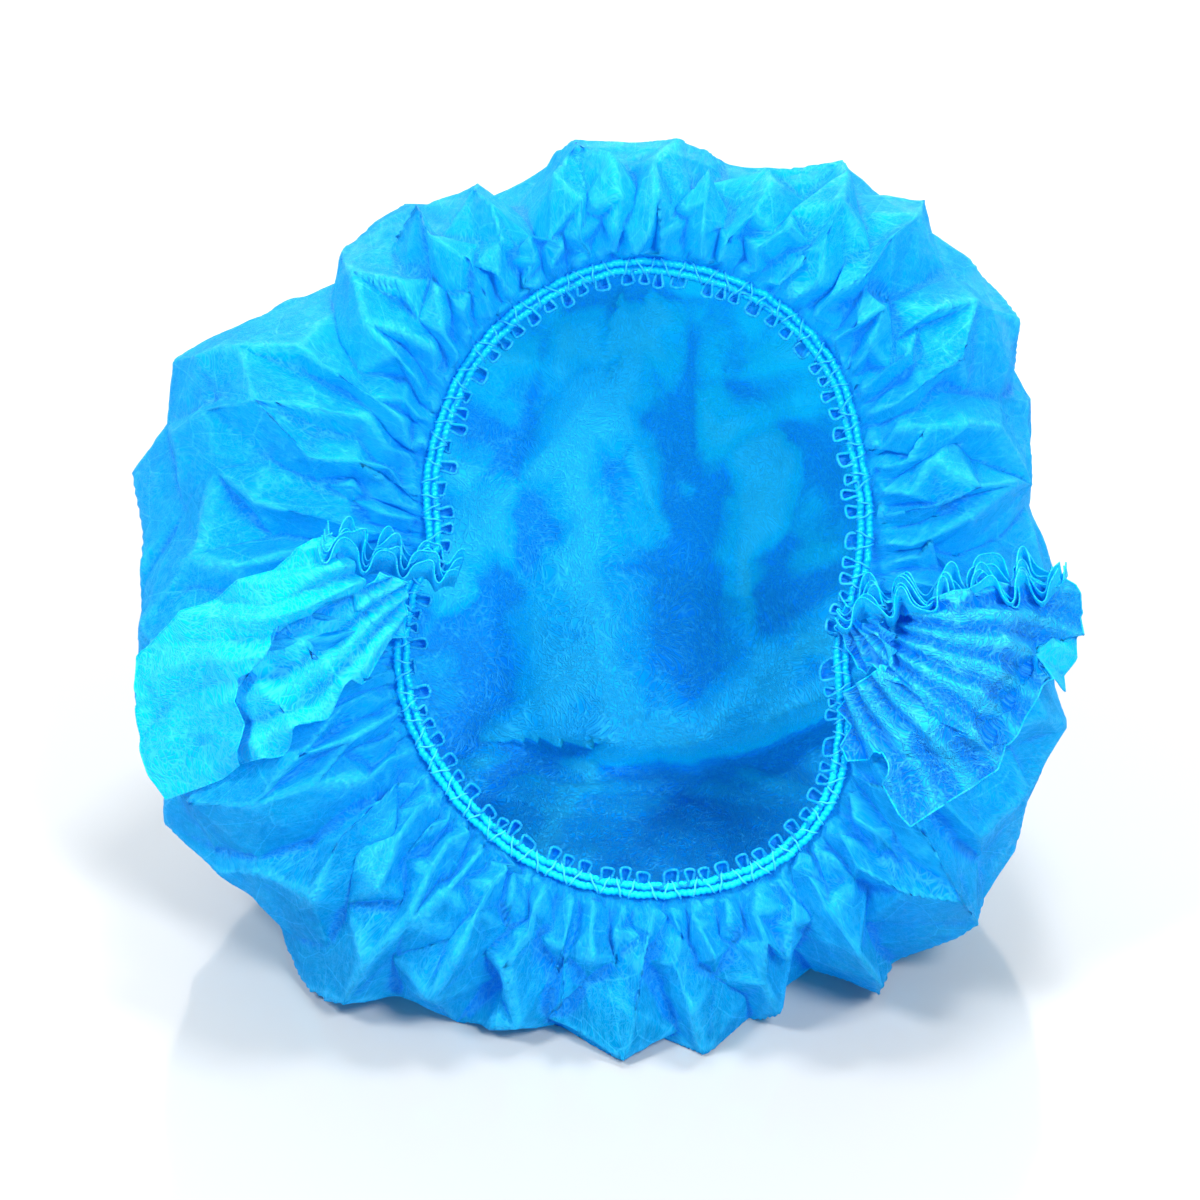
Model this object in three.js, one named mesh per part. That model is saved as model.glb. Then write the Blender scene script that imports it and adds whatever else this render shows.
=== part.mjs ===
// Disposable hairnet: a light cap of thin spunbond cloth, gathered on a double elastic cord round its
// opening, with a pleated ear at each end of the elastic. It lies on its crown and lower side as it does
// when it is opened and set down, with the opening leaning back. Millimetres, +Z up, opening towards -Y.
import * as THREE from "three";

// Overall sizes of the opened cap
const capWidth = 258; // across the puffed outline, along X
const capHeight = 258; // across the puffed outline, up the opening's plane
const capDepth = 148; // from the opening's plane back to the crown
const openingWidth = 124; // between the elastic's left and right ends
const openingHeight = 170; // between the elastic's top and bottom
const leanBack = 28; // degrees from upright to the opening's plane
const openingAboveFloor = 111; // height of the opening's centre

// Cloth and elastic
const clothThickness = 1.2;
const puffHeight = 21; // how far the cloth swells in front of the elastic
const hemWidth = 5.5; // loose edge of the cloth inside the elastic
const cordDiameter = 2;
const seatGap = 0.3; // between pieces that touch
const gatherDepth = 5; // of the gathers just outside the elastic
const foldDepth = 7; // of the broad folds across the puffed rim
const earReach = 0.9; // share of the outline over which an ear follows the puffed rim
const creaseDepth = 6; // of the creases that corner the outline
const cleftDepth = 13; // of the valley that runs out under each ear

// How the surface is divided
const crownRings = 19;
const columnCount = crownRings * 6;
const columnsPerGather = 3;
const broadFolds = Math.round(columnCount / columnsPerGather / 2);
const cordSteps = 72;
const cordSides = 6;
const earColumns = 28;
const earRows = 6;

// Sections of the cap, one for each 15 degrees anticlockwise from +X as the wearer's side is faced.
// opening and outline are shares of half the opening's mean size and of half the cap's mean size,
// puff is a share of puffHeight, and edge a share of capDepth: how far back the outline lies.
const sections = [
  { angle: 0, opening: 0.89, outline: 0.96, puff: 0.8, edge: 0.3 },
  { angle: 15, opening: 0.95, outline: 0.94, puff: 0.7, edge: 0.36 },
  { angle: 30, opening: 1.02, outline: 1.01, puff: 0.6, edge: 0.36 },
  { angle: 45, opening: 1.13, outline: 1.03, puff: 0.6, edge: 0.34 },
  { angle: 60, opening: 1.19, outline: 1.03, puff: 0.6, edge: 0.32 },
  { angle: 75, opening: 1.2, outline: 0.96, puff: 0.65, edge: 0.3 },
  { angle: 90, opening: 1.18, outline: 0.97, puff: 0.7, edge: 0.3 },
  { angle: 105, opening: 1.1, outline: 0.91, puff: 0.65, edge: 0.32 },
  { angle: 120, opening: 1.0, outline: 0.93, puff: 0.6, edge: 0.34 },
  { angle: 135, opening: 0.88, outline: 0.94, puff: 0.65, edge: 0.36 },
  { angle: 150, opening: 0.78, outline: 1.03, puff: 0.75, edge: 0.36 },
  { angle: 165, opening: 0.69, outline: 1.05, puff: 0.75, edge: 0.34 },
  { angle: 180, opening: 0.75, outline: 1.02, puff: 0.8, edge: 0.3 },
  { angle: 195, opening: 0.81, outline: 1.04, puff: 1.05, edge: 0.26 },
  { angle: 210, opening: 0.87, outline: 1.04, puff: 1.05, edge: 0.24 },
  { angle: 225, opening: 0.92, outline: 1.04, puff: 0.9, edge: 0.22 },
  { angle: 240, opening: 0.98, outline: 1.02, puff: 0.75, edge: 0.2 },
  { angle: 255, opening: 1.04, outline: 0.99, puff: 0.6, edge: 0.19 },
  { angle: 270, opening: 1.09, outline: 1.0, puff: 0.55, edge: 0.18 },
  { angle: 285, opening: 1.13, outline: 0.98, puff: 0.55, edge: 0.18 },
  { angle: 300, opening: 1.15, outline: 0.96, puff: 0.65, edge: 0.19 },
  { angle: 315, opening: 1.1, outline: 1.0, puff: 0.85, edge: 0.21 },
  { angle: 330, opening: 0.97, outline: 1.02, puff: 1.0, edge: 0.24 },
  { angle: 345, opening: 0.86, outline: 0.99, puff: 0.95, edge: 0.27 },
];

// Creases from the puffed rim over the outline: a positive share of creaseDepth stands out as a corner
const creases = [
  { angle: 20, width: 5, depth: -1 },
  { angle: 34, width: 6, depth: 0.7 },
  { angle: 52, width: 6, depth: 0.8 },
  { angle: 72, width: 5, depth: -1 },
  { angle: 86, width: 7, depth: 0.8 },
  { angle: 103, width: 5, depth: -1.2 },
  { angle: 118, width: 6, depth: 0.6 },
  { angle: 134, width: 5, depth: -0.9 },
  { angle: 152, width: 7, depth: 0.7 },
  { angle: 166, width: 6, depth: 0.9 },
  { angle: 207, width: 5, depth: 0.8 },
  { angle: 220, width: 5, depth: -0.8 },
  { angle: 236, width: 6, depth: 0.8 },
  { angle: 252, width: 6, depth: -0.7 },
  { angle: 274, width: 5, depth: 1 },
  { angle: 296, width: 6, depth: -0.9 },
  { angle: 303, width: 4, depth: 1 },
  { angle: 318, width: 6, depth: 0.9 },
  { angle: 338, width: 5, depth: -0.8 },
];

// Valleys under the two ears, at the elastic's ends
const clefts = [
  { angle: 170, width: 7 },
  { angle: 4, width: 7 },
];

// Folds of the crown that stand into the hollow. x, up and the two half lengths are shares of half the
// cap's mean size, turn is in degrees from +X, and depth is a share of capDepth.
const crownFolds = [
  { x: -0.08, up: 0.02, along: 0.66, across: 0.24, turn: 94, depth: 0.15 },
  { x: -0.26, up: 0.28, along: 0.38, across: 0.2, turn: 45, depth: 0.09 },
  { x: 0.26, up: -0.26, along: 0.42, across: 0.2, turn: 14, depth: 0.14 },
  { x: 0.32, up: 0.24, along: 0.38, across: 0.18, turn: 112, depth: 0.07 },
];

// Each ear is a flap of pleats between two edges. A row gives a place on either edge as shares of half
// the cap's mean size, with lift a share of puffHeight in front of the cloth it lies on.
const leftEar = {
  pleats: 5,
  pleatDepth: 7,
  bow: 5,
  rows: [
    { x: -0.98, up: -0.13, lift: 0, hemX: -0.92, hemUp: -0.42, hemLift: 0 },
    { x: -0.86, up: -0.05, lift: 0.1, hemX: -0.78, hemUp: -0.39, hemLift: 0.1 },
    { x: -0.72, up: 0.03, lift: 0.25, hemX: -0.66, hemUp: -0.31, hemLift: 0.2 },
    { x: -0.59, up: 0.12, lift: 0.4, hemX: -0.56, hemUp: -0.21, hemLift: 0.25 },
    { x: -0.47, up: 0.1, lift: 0.4, hemX: -0.46, hemUp: -0.1, hemLift: 0.25 },
    { x: -0.37, up: 0.06, lift: 0.3, hemX: -0.4, hemUp: 0.0, hemLift: 0.25 },
  ],
};
const rightEar = {
  pleats: 6,
  pleatDepth: 8,
  bow: 6,
  rows: [
    { x: 0.93, up: -0.12, lift: 0.1, hemX: 0.96, hemUp: -0.01, hemLift: 0.2 },
    { x: 0.91, up: -0.2, lift: 0.15, hemX: 0.8, hemUp: 0.04, hemLift: 0.35 },
    { x: 0.87, up: -0.28, lift: 0.25, hemX: 0.63, hemUp: 0.05, hemLift: 0.5 },
    { x: 0.8, up: -0.36, lift: 0.25, hemX: 0.49, hemUp: -0.03, hemLift: 0.5 },
    { x: 0.71, up: -0.43, lift: 0.2, hemX: 0.45, hemUp: -0.18, hemLift: 0.35 },
    { x: 0.61, up: -0.48, lift: 0.1, hemX: 0.47, hemUp: -0.34, hemLift: 0.15 },
  ],
};

const meanCapRadius = (capWidth + capHeight) / 4;
const meanOpeningRadius = (openingWidth + openingHeight) / 4;
const seatWidth = 2 * (cordDiameter + clothThickness) + seatGap;
const lean = THREE.MathUtils.degToRad(leanBack);

const turnBetween = (a, b) => ((((a - b) % 360) + 540) % 360) - 180;
const smooth = (t) => t * t * (3 - 2 * t);
const clamped = (t) => Math.min(1, Math.max(0, t));

// A column of a table at any angle, along a smooth closed curve through its rows
function atAngle(column, angle) {
  const step = 360 / sections.length;
  const place = (((angle % 360) + 360) % 360) / step;
  const row = Math.floor(place);
  const t = place - row;
  const value = (i) => sections[(i + sections.length) % sections.length][column];
  const [a, b, c, d] = [value(row - 1), value(row), value(row + 1), value(row + 2)];
  return b + 0.5 * t * (c - a + t * (2 * a - 5 * b + 4 * c - d + t * (3 * (b - c) + d - a)));
}

const openingRadius = (angle) => atAngle("opening", angle) * meanOpeningRadius;
const outlineRadius = (angle) => atAngle("outline", angle) * meanCapRadius;

function bezier(a, b, c, d, t) {
  const u = 1 - t;
  return u * u * u * a + 3 * u * u * t * b + 3 * u * t * t * c + t * t * t * d;
}

// The cap's section at an angle, as radius and height over the opening's plane.
// along runs from 0 at the crown's middle over 1 at the outline to 2 at the elastic.
function sectionPoint(angle, along) {
  const outline = outlineRadius(angle);
  const edge = -atAngle("edge", angle) * capDepth;
  const rim = openingRadius(angle) + seatWidth / 2;
  const puff = atAngle("puff", angle) * puffHeight;
  if (along <= 1) {
    return new THREE.Vector2(
      bezier(0, outline * 0.62, outline, outline, along),
      bezier(-capDepth, -capDepth, edge - (capDepth + edge) * 0.58, edge, along),
    );
  }
  const t = along - 1;
  return new THREE.Vector2(
    bezier(outline, outline, rim + (outline - rim) * 0.42, rim, t),
    bezier(edge, edge * 0.25 + puff * 0.4, puff * 2.1, 0, t),
  );
}

// Direction square to the section, away from the hollow
function sectionNormal(angle, along) {
  const step = 0.01;
  const before = sectionPoint(angle, Math.max(0, along - step));
  const after = sectionPoint(angle, Math.min(2, along + step));
  return new THREE.Vector2(after.y - before.y, before.x - after.x).normalize();
}

// How far gathers, folds, creases and clefts move the cloth outwards at a place on the rim
function rimFolds(angle, along, column) {
  if (along <= 0.55) return 0;
  const nearElastic = clamped((along - 1.35) / 0.4) * clamped((2 - along) / 0.1);
  const acrossRim = smooth(clamped((along - 0.9) / 0.5)) * clamped((2.05 - along) / 0.35);
  const overOutline = smooth(clamped((along - 0.55) / 0.4)) * clamped((2 - along) / 0.7);
  const alternate = column % columnsPerGather === 0 ? 0.5 : -0.4;
  let out = gatherDepth * nearElastic * alternate;
  const wander = 24 * Math.sin(THREE.MathUtils.degToRad(2 * angle + 40));
  out += 0.5 * foldDepth * acrossRim * Math.cos(THREE.MathUtils.degToRad(broadFolds * angle + wander));
  for (const c of creases) {
    const away = Math.abs(turnBetween(angle, c.angle)) / c.width;
    out += creaseDepth * c.depth * overOutline * Math.max(0, 1 - away);
  }
  for (const c of clefts) {
    const away = turnBetween(angle, c.angle) / c.width;
    out -= cleftDepth * acrossRim * Math.exp(-away * away);
  }
  return out;
}

// How far the crown's folds stand into the hollow over a place on the opening's plane
function crownFoldHeight(x, up) {
  let height = 0;
  for (const f of crownFolds) {
    const turn = THREE.MathUtils.degToRad(f.turn);
    const dx = x / meanCapRadius - f.x;
    const dy = up / meanCapRadius - f.up;
    const lengthwise = (dx * Math.cos(turn) + dy * Math.sin(turn)) / f.along;
    const sideways = (dy * Math.cos(turn) - dx * Math.sin(turn)) / f.across;
    const ridge = smooth(clamped(1 - Math.abs(sideways)));
    height += f.depth * capDepth * ridge * clamped(1 - lengthwise * lengthwise);
  }
  return height;
}

// From the opening's own frame (x, up its plane, height in front of it) to the part's frame
function leaned(x, up, height) {
  return new THREE.Vector3(
    x,
    up * Math.sin(lean) - height * Math.cos(lean),
    openingAboveFloor + up * Math.cos(lean) + height * Math.sin(lean),
  );
}

const forward = leaned(0, 0, 1).sub(leaned(0, 0, 0));

// A place on the cloth. Past 2, along runs on over the elastic's seat to the hem.
function clothPoint(angle, along, column) {
  const radians = THREE.MathUtils.degToRad(angle);
  const onSection = sectionPoint(angle, Math.min(along, 2));
  const normal = sectionNormal(angle, Math.min(along, 1.98));
  const fold = along <= 2 ? rimFolds(angle, along, column) : 0;
  let radius = onSection.x + normal.x * fold;
  let height = onSection.y + normal.y * fold;
  const crest = column % columnsPerGather === 0;
  if (along > 1.95 && !crest) height -= gatherDepth * 0.35;
  if (along > 2) {
    radius -= clamped(along - 2) * seatWidth + clamped(along - 3) * hemWidth * (crest ? 1 : 0.35);
  }
  const x = radius * Math.cos(radians);
  const up = radius * Math.sin(radians);
  const back = 1 - smooth(clamped((along - 0.6) / 0.35));
  return leaned(x, up, height + back * crownFoldHeight(x, up));
}

// The cloth's surface: rings of six more points each out to the outline, then equal rings to the hem
function clothSurface() {
  const rimPlaces = [1.17, 1.34, 1.5, 1.65, 1.79, 1.9, 2, 3, 4];
  const points = [clothPoint(0, 0, 0)];
  const triangles = [];
  const firstOf = [0];
  const sizeOf = [1];
  for (let ring = 1; ring <= crownRings; ring++) {
    firstOf.push(points.length);
    sizeOf.push(6 * ring);
    for (let i = 0; i < 6 * ring; i++) {
      points.push(clothPoint((i * 360) / (6 * ring), ring / crownRings, i));
    }
  }
  for (const place of rimPlaces) {
    firstOf.push(points.length);
    sizeOf.push(columnCount);
    for (let i = 0; i < columnCount; i++) {
      points.push(clothPoint((i * 360) / columnCount, place, i));
    }
  }
  for (let ring = 1; ring < firstOf.length; ring++) {
    const inner = (i) => firstOf[ring - 1] + (i % sizeOf[ring - 1]);
    const outer = (i) => firstOf[ring] + (i % sizeOf[ring]);
    if (sizeOf[ring] === sizeOf[ring - 1]) {
      for (let i = 0; i < columnCount; i++) {
        triangles.push(inner(i), outer(i + 1), outer(i), inner(i), inner(i + 1), outer(i + 1));
      }
      continue;
    }
    for (let side = 0; side < 6; side++) {
      for (let i = 0; i < ring; i++) {
        const far = side * ring + i;
        const near = side * (ring - 1) + i;
        triangles.push(inner(near), outer(far + 1), outer(far));
        if (i < ring - 1) triangles.push(inner(near), inner(near + 1), outer(far + 1));
      }
    }
  }
  return { points, triangles };
}

function pointNormals(points, triangles) {
  const normals = points.map(() => new THREE.Vector3());
  for (let i = 0; i < triangles.length; i += 3) {
    const [a, b, c] = [0, 1, 2].map((k) => triangles[i + k]);
    const ab = points[b].clone().sub(points[a]);
    const face = ab.cross(points[c].clone().sub(points[a]));
    for (const k of [a, b, c]) normals[k].add(face);
  }
  return normals.map((n) => n.normalize());
}

// A closed wall of cloth round a surface whose triangles face the cloth's outer side.
// Where it meets the floor it lies flat: no part of the wall goes below it.
function clothWall(points, triangles) {
  const normals = pointNormals(points, triangles);
  const half = clothThickness / 2;
  const onFloor = (p, least) => new THREE.Vector3(p.x, p.y, Math.max(p.z, least));
  const outer = points.map((p, i) => onFloor(p.clone().addScaledVector(normals[i], half), 0));
  const inner = points.map((p, i) => onFloor(p.clone().addScaledVector(normals[i], -half), clothThickness));
  const count = points.length;
  const faces = [...triangles];
  for (let i = 0; i < triangles.length; i += 3) {
    faces.push(triangles[i] + count, triangles[i + 2] + count, triangles[i + 1] + count);
  }
  const used = new Set();
  for (let i = 0; i < triangles.length; i += 3) {
    for (let k = 0; k < 3; k++) used.add(triangles[i + k] + ":" + triangles[i + ((k + 1) % 3)]);
  }
  for (const edge of used) {
    const [a, b] = edge.split(":").map(Number);
    if (!used.has(b + ":" + a)) faces.push(b, a, a + count, b, a + count, b + count);
  }
  const geometry = new THREE.BufferGeometry();
  geometry.setAttribute("position", new THREE.Float32BufferAttribute([...outer, ...inner].flatMap((p) => [p.x, p.y, p.z]), 3));
  geometry.setIndex(faces);
  return geometry;
}

// One of the two cords, along the opening on the front of the cloth
function cordGeometry(side) {
  const lift = clothThickness / 2 + seatGap + cordDiameter / 2;
  const offset = (side * (cordDiameter + seatGap)) / 2;
  const path = [];
  for (let i = 0; i < cordSteps; i++) {
    const angle = (i * 360) / cordSteps;
    const radius = openingRadius(angle) + offset;
    const radians = THREE.MathUtils.degToRad(angle);
    path.push(leaned(radius * Math.cos(radians), radius * Math.sin(radians), lift));
  }
  const curve = new THREE.CatmullRomCurve3(path, true);
  return new THREE.TubeGeometry(curve, cordSteps, cordDiameter / 2, cordSides, true);
}

// Height of the puffed rim, before its folds, at a place on the opening's plane.
// Past earReach of the outline it stays level, so that an ear stands clear of the cap's side.
function rimHeight(x, up) {
  const angle = THREE.MathUtils.radToDeg(Math.atan2(up, x));
  const radius = Math.min(Math.hypot(x, up), earReach * outlineRadius(angle));
  let [outer, inner] = [1, 2];
  for (let i = 0; i < 20; i++) {
    const middle = (outer + inner) / 2;
    if (sectionPoint(angle, middle).x > radius) outer = middle;
    else inner = middle;
  }
  return sectionPoint(angle, outer).y;
}

// A row of an ear's table between its rows
function earRow(rows, share) {
  const place = Math.min(share, 0.9999) * (rows.length - 1);
  const row = Math.floor(place);
  const t = smooth(place - row) * 0.3 + (place - row) * 0.7;
  const mixed = {};
  for (const key of Object.keys(rows[0])) {
    mixed[key] = rows[row][key] + (rows[row + 1][key] - rows[row][key]) * t;
  }
  return mixed;
}

// A flap of pleats over the puffed rim: it leaves its first edge, bows forward and ends in a zigzag hem
function earSurface(ear) {
  const points = [];
  const triangles = [];
  for (let j = 0; j < earRows; j++) {
    const across = j / (earRows - 1);
    for (let i = 0; i < earColumns; i++) {
      const share = i / (earColumns - 1);
      const row = earRow(ear.rows, share);
      const ends = Math.sin(Math.PI * share);
      const bow = ear.bow * Math.sin(Math.PI * across) * ends;
      const phase = share * ear.pleats;
      const zigzag = 4 * Math.abs(phase - Math.floor(phase) - 0.5) - 1;
      const pleat = ear.pleatDepth * 0.5 * zigzag * (0.25 + 0.75 * across) * Math.sqrt(ends);
      const x = meanCapRadius * (row.x + (row.hemX - row.x) * across);
      const up = meanCapRadius * (row.up + (row.hemUp - row.up) * across);
      const lift = puffHeight * (row.lift + (row.hemLift - row.lift) * across);
      points.push(leaned(x, up, rimHeight(x, up) + lift + bow + pleat));
    }
  }
  for (let j = 0; j < earRows - 1; j++) {
    for (let i = 0; i < earColumns - 1; i++) {
      const a = j * earColumns + i;
      const c = a + earColumns;
      triangles.push(a, c, c + 1, a, c + 1, a + 1);
    }
  }
  return { points, triangles };
}

const cloth = new THREE.MeshStandardMaterial({ color: 0x1aa3f5, roughness: 0.5, metalness: 0, side: THREE.DoubleSide });
const elastic = new THREE.MeshStandardMaterial({ color: 0x2cc0f4, roughness: 0.35, metalness: 0, side: THREE.DoubleSide });

function namedMesh(name, geometry, material) {
  const mesh = new THREE.Mesh(geometry, material);
  mesh.name = name;
  return mesh;
}

// Corners of a mesh and the middles of its edges
function probePoints(mesh) {
  const corners = mesh.geometry.getAttribute("position");
  const index = mesh.geometry.index.array;
  const points = [];
  for (let i = 0; i < index.length; i++) {
    const next = i % 3 === 2 ? i - 2 : i + 1;
    if (index[i] > index[next]) continue;
    const a = new THREE.Vector3().fromBufferAttribute(corners, index[i]);
    const b = new THREE.Vector3().fromBufferAttribute(corners, index[next]);
    points.push(a, a.clone().lerp(b, 0.5));
  }
  return points;
}

// Least distance straight forward or back between two meshes
function leastGap(upper, lower) {
  const caster = new THREE.Raycaster();
  let least = Infinity;
  for (const [from, to, sign] of [[upper, lower, -1], [lower, upper, 1]]) {
    const box = new THREE.Box3().setFromObject(to);
    const direction = forward.clone().multiplyScalar(sign);
    for (const point of probePoints(from)) {
      caster.set(point.addScaledVector(direction, -capDepth), direction);
      if (!caster.ray.intersectsBox(box)) continue;
      for (const hit of caster.intersectObject(to)) least = Math.min(least, hit.distance - capDepth);
    }
  }
  return least;
}

// Moves a piece straight back until it lies on the others with seatGap left
function seated(piece, supports) {
  piece.geometry.translate(forward.x * capDepth, forward.y * capDepth, forward.z * capDepth);
  const drop = Math.min(...supports.map((support) => leastGap(piece, support))) - seatGap;
  piece.geometry.translate(-forward.x * drop, -forward.y * drop, -forward.z * drop);
  return piece;
}

const surface = clothSurface();
const crown = namedMesh("crown", clothWall(surface.points, surface.triangles), cloth);
const outerCord = namedMesh("elastic_outer_cord", cordGeometry(1), elastic);
const innerCord = namedMesh("elastic_inner_cord", cordGeometry(-1), elastic);

const cap = new THREE.Group();
cap.add(crown, outerCord, innerCord);
for (const [name, ear] of [["left_ear", leftEar], ["right_ear", rightEar]]) {
  const { points, triangles } = earSurface(ear);
  const flap = namedMesh(name, clothWall(points, triangles), cloth);
  cap.add(seated(flap, [crown, outerCord, innerCord]));
}

// The origin is on the floor, under the middle of the cap's box
const box = new THREE.Box3().setFromObject(cap);
const middle = box.getCenter(new THREE.Vector3());
cap.position.set(-middle.x, -middle.y, -box.min.z);

export default cap;
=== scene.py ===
import math
import bpy
import numpy as np
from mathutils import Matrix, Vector, geometry, kdtree


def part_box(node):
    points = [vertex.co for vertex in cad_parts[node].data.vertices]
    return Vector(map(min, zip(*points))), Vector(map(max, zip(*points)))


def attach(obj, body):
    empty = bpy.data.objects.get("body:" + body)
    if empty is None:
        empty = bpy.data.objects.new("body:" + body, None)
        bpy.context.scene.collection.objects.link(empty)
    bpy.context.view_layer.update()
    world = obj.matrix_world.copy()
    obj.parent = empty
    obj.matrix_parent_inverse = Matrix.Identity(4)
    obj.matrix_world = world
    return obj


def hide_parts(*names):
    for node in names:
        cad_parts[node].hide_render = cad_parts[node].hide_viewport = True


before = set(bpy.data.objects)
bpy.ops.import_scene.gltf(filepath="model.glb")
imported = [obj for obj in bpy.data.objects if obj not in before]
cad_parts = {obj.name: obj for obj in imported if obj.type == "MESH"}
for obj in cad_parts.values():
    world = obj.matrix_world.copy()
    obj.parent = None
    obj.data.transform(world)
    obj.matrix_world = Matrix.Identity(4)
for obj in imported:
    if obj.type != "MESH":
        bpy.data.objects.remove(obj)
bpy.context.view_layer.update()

mm = 0.001

# shape of the cap in millimetres, the same as the solids follow
capShape = {
    "capWidth": 258, "capHeight": 258, "capDepth": 148,
    "openingWidth": 124, "openingHeight": 170,
    "leanBack": 28, "openingAboveFloor": 111,
    "puffHeight": 21, "cordDiameter": 2, "seatGap": 0.3,
    "creaseDepth": 6, "cleftDepth": 13, "earReach": 0.9,
}

# angle, opening, outline, puff, edge: every 15 degrees from +X
capSections = np.array([
    (0, 0.89, 0.96, 0.8, 0.3), (15, 0.95, 0.94, 0.7, 0.36), (30, 1.02, 1.01, 0.6, 0.36),
    (45, 1.13, 1.03, 0.6, 0.34), (60, 1.19, 1.03, 0.6, 0.32), (75, 1.2, 0.96, 0.65, 0.3),
    (90, 1.18, 0.97, 0.7, 0.3), (105, 1.1, 0.91, 0.65, 0.32), (120, 1.0, 0.93, 0.6, 0.34),
    (135, 0.88, 0.94, 0.65, 0.36), (150, 0.78, 1.03, 0.75, 0.36), (165, 0.69, 1.05, 0.75, 0.34),
    (180, 0.75, 1.02, 0.8, 0.3), (195, 0.81, 1.04, 1.05, 0.26), (210, 0.87, 1.04, 1.05, 0.24),
    (225, 0.92, 1.04, 0.9, 0.22), (240, 0.98, 1.02, 0.75, 0.2), (255, 1.04, 0.99, 0.6, 0.19),
    (270, 1.09, 1.0, 0.55, 0.18), (285, 1.13, 0.98, 0.55, 0.18), (300, 1.15, 0.96, 0.65, 0.19),
    (315, 1.1, 1.0, 0.85, 0.21), (330, 0.97, 1.02, 1.0, 0.24), (345, 0.86, 0.99, 0.95, 0.27),
])

# angle, width, depth of the creases that corner the outline
outlineCreases = [
    (20, 5, -1), (34, 6, 0.7), (52, 6, 0.8), (72, 5, -1), (86, 7, 0.8), (103, 5, -1.2),
    (118, 6, 0.6), (134, 5, -0.9), (152, 7, 0.7), (166, 6, 0.9), (207, 5, 0.8), (220, 5, -0.8),
    (236, 6, 0.8), (252, 6, -0.7), (274, 5, 1), (296, 6, -0.9), (303, 4, 1), (318, 6, 0.9),
    (338, 5, -0.8),
]
earClefts = [(170, 7), (4, 7)]  # angle, width of the valley under each ear

# x, up, along, across, turn, depth of the crown's folds into the hollow
crownFolds = [
    (-0.08, 0.02, 0.66, 0.24, 94, 0.15), (-0.26, 0.28, 0.38, 0.2, 45, 0.09),
    (0.26, -0.26, 0.42, 0.2, 14, 0.14), (0.32, 0.24, 0.38, 0.18, 112, 0.07),
]

meanCap = (capShape["capWidth"] + capShape["capHeight"]) / 4
meanOpening = (capShape["openingWidth"] + capShape["openingHeight"]) / 4
bandWidth = 2 * capShape["cordDiameter"] + capShape["seatGap"]
cordLift = 0.6 + capShape["seatGap"] + capShape["cordDiameter"] / 2
lean = math.radians(capShape["leanBack"])
upAxis = np.array([0, math.sin(lean), math.cos(lean)])
forward = np.array([0, -math.cos(lean), math.sin(lean)])


def smoothStep(t):
    t = np.clip(t, 0, 1)
    return t * t * (3 - 2 * t)


def atAngle(column, angle):  # angle in degrees, any array
    place = np.mod(angle, 360) / 15
    row = np.floor(place).astype(int)
    t = place - row
    a, b, c, d = (capSections[(row + k) % 24, column] for k in (-1, 0, 1, 2))
    return b + 0.5 * t * (c - a + t * (2 * a - 5 * b + 4 * c - d + t * (3 * (b - c) + d - a)))


def bezier(a, b, c, d, t):
    u = 1 - t
    return u * u * u * a + 3 * u * u * t * b + 3 * u * t * t * c + t * t * t * d


def sectionPoint(angle, along):  # radius and height over the opening's plane
    depth = capShape["capDepth"]
    outline = atAngle(2, angle) * meanCap
    edge = -atAngle(4, angle) * depth
    rim = atAngle(1, angle) * meanOpening + bandWidth / 2
    puff = atAngle(3, angle) * capShape["puffHeight"]
    t = np.clip(along, 0, 1)
    radiusBack = bezier(0, outline * 0.62, outline, outline, t)
    heightBack = bezier(-depth, -depth, edge - (depth + edge) * 0.58, edge, t)
    t = np.clip(along - 1, 0, 1)
    radiusFront = bezier(outline, outline, rim + (outline - rim) * 0.42, rim, t)
    heightFront = bezier(edge, edge * 0.25 + puff * 0.4, puff * 2.1, 0, t)
    back = along <= 1
    return np.where(back, radiusBack, radiusFront), np.where(back, heightBack, heightFront)


def leaned(x, up, height):  # opening's frame to the part's, before the part is centred
    x, up, height = np.broadcast_arrays(x, up, height)
    rise = np.array([0, 0, capShape["openingAboveFloor"]])
    return x[..., None] * np.array([1.0, 0, 0]) + up[..., None] * upAxis + height[..., None] * forward + rise


def turnBetween(a, b):
    return np.mod(a - b + 180, 360) - 180


def openingLine(angle, offset=0.0):  # the opening's own outline, in its plane
    radius = atAngle(1, angle) * meanOpening + offset
    around = np.radians(angle)
    return radius * np.cos(around), radius * np.sin(around)


low, high = (np.array(v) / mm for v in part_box("elastic_outer_cord"))
ownAngles = np.arange(360.0)
ownLine = openingLine(ownAngles, (capShape["cordDiameter"] + capShape["seatGap"]) / 2)
ownCord = leaned(*ownLine, cordLift)
centring = (low + high) / 2 - (ownCord.min(axis=0) + ownCord.max(axis=0)) / 2
centring[2] = 0


def placed(x, up, height):  # opening's frame to the part's, in millimetres
    return leaned(x, up, height) + centring


# where the picture's frame, in pixels, lies in the opening's plane, in millimetres
view = {
    "distance": 1400.0, "perPixel": 0.27, "openingX": 615, "openingY": 590, "middle": 600, "across": 1200,
}

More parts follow.
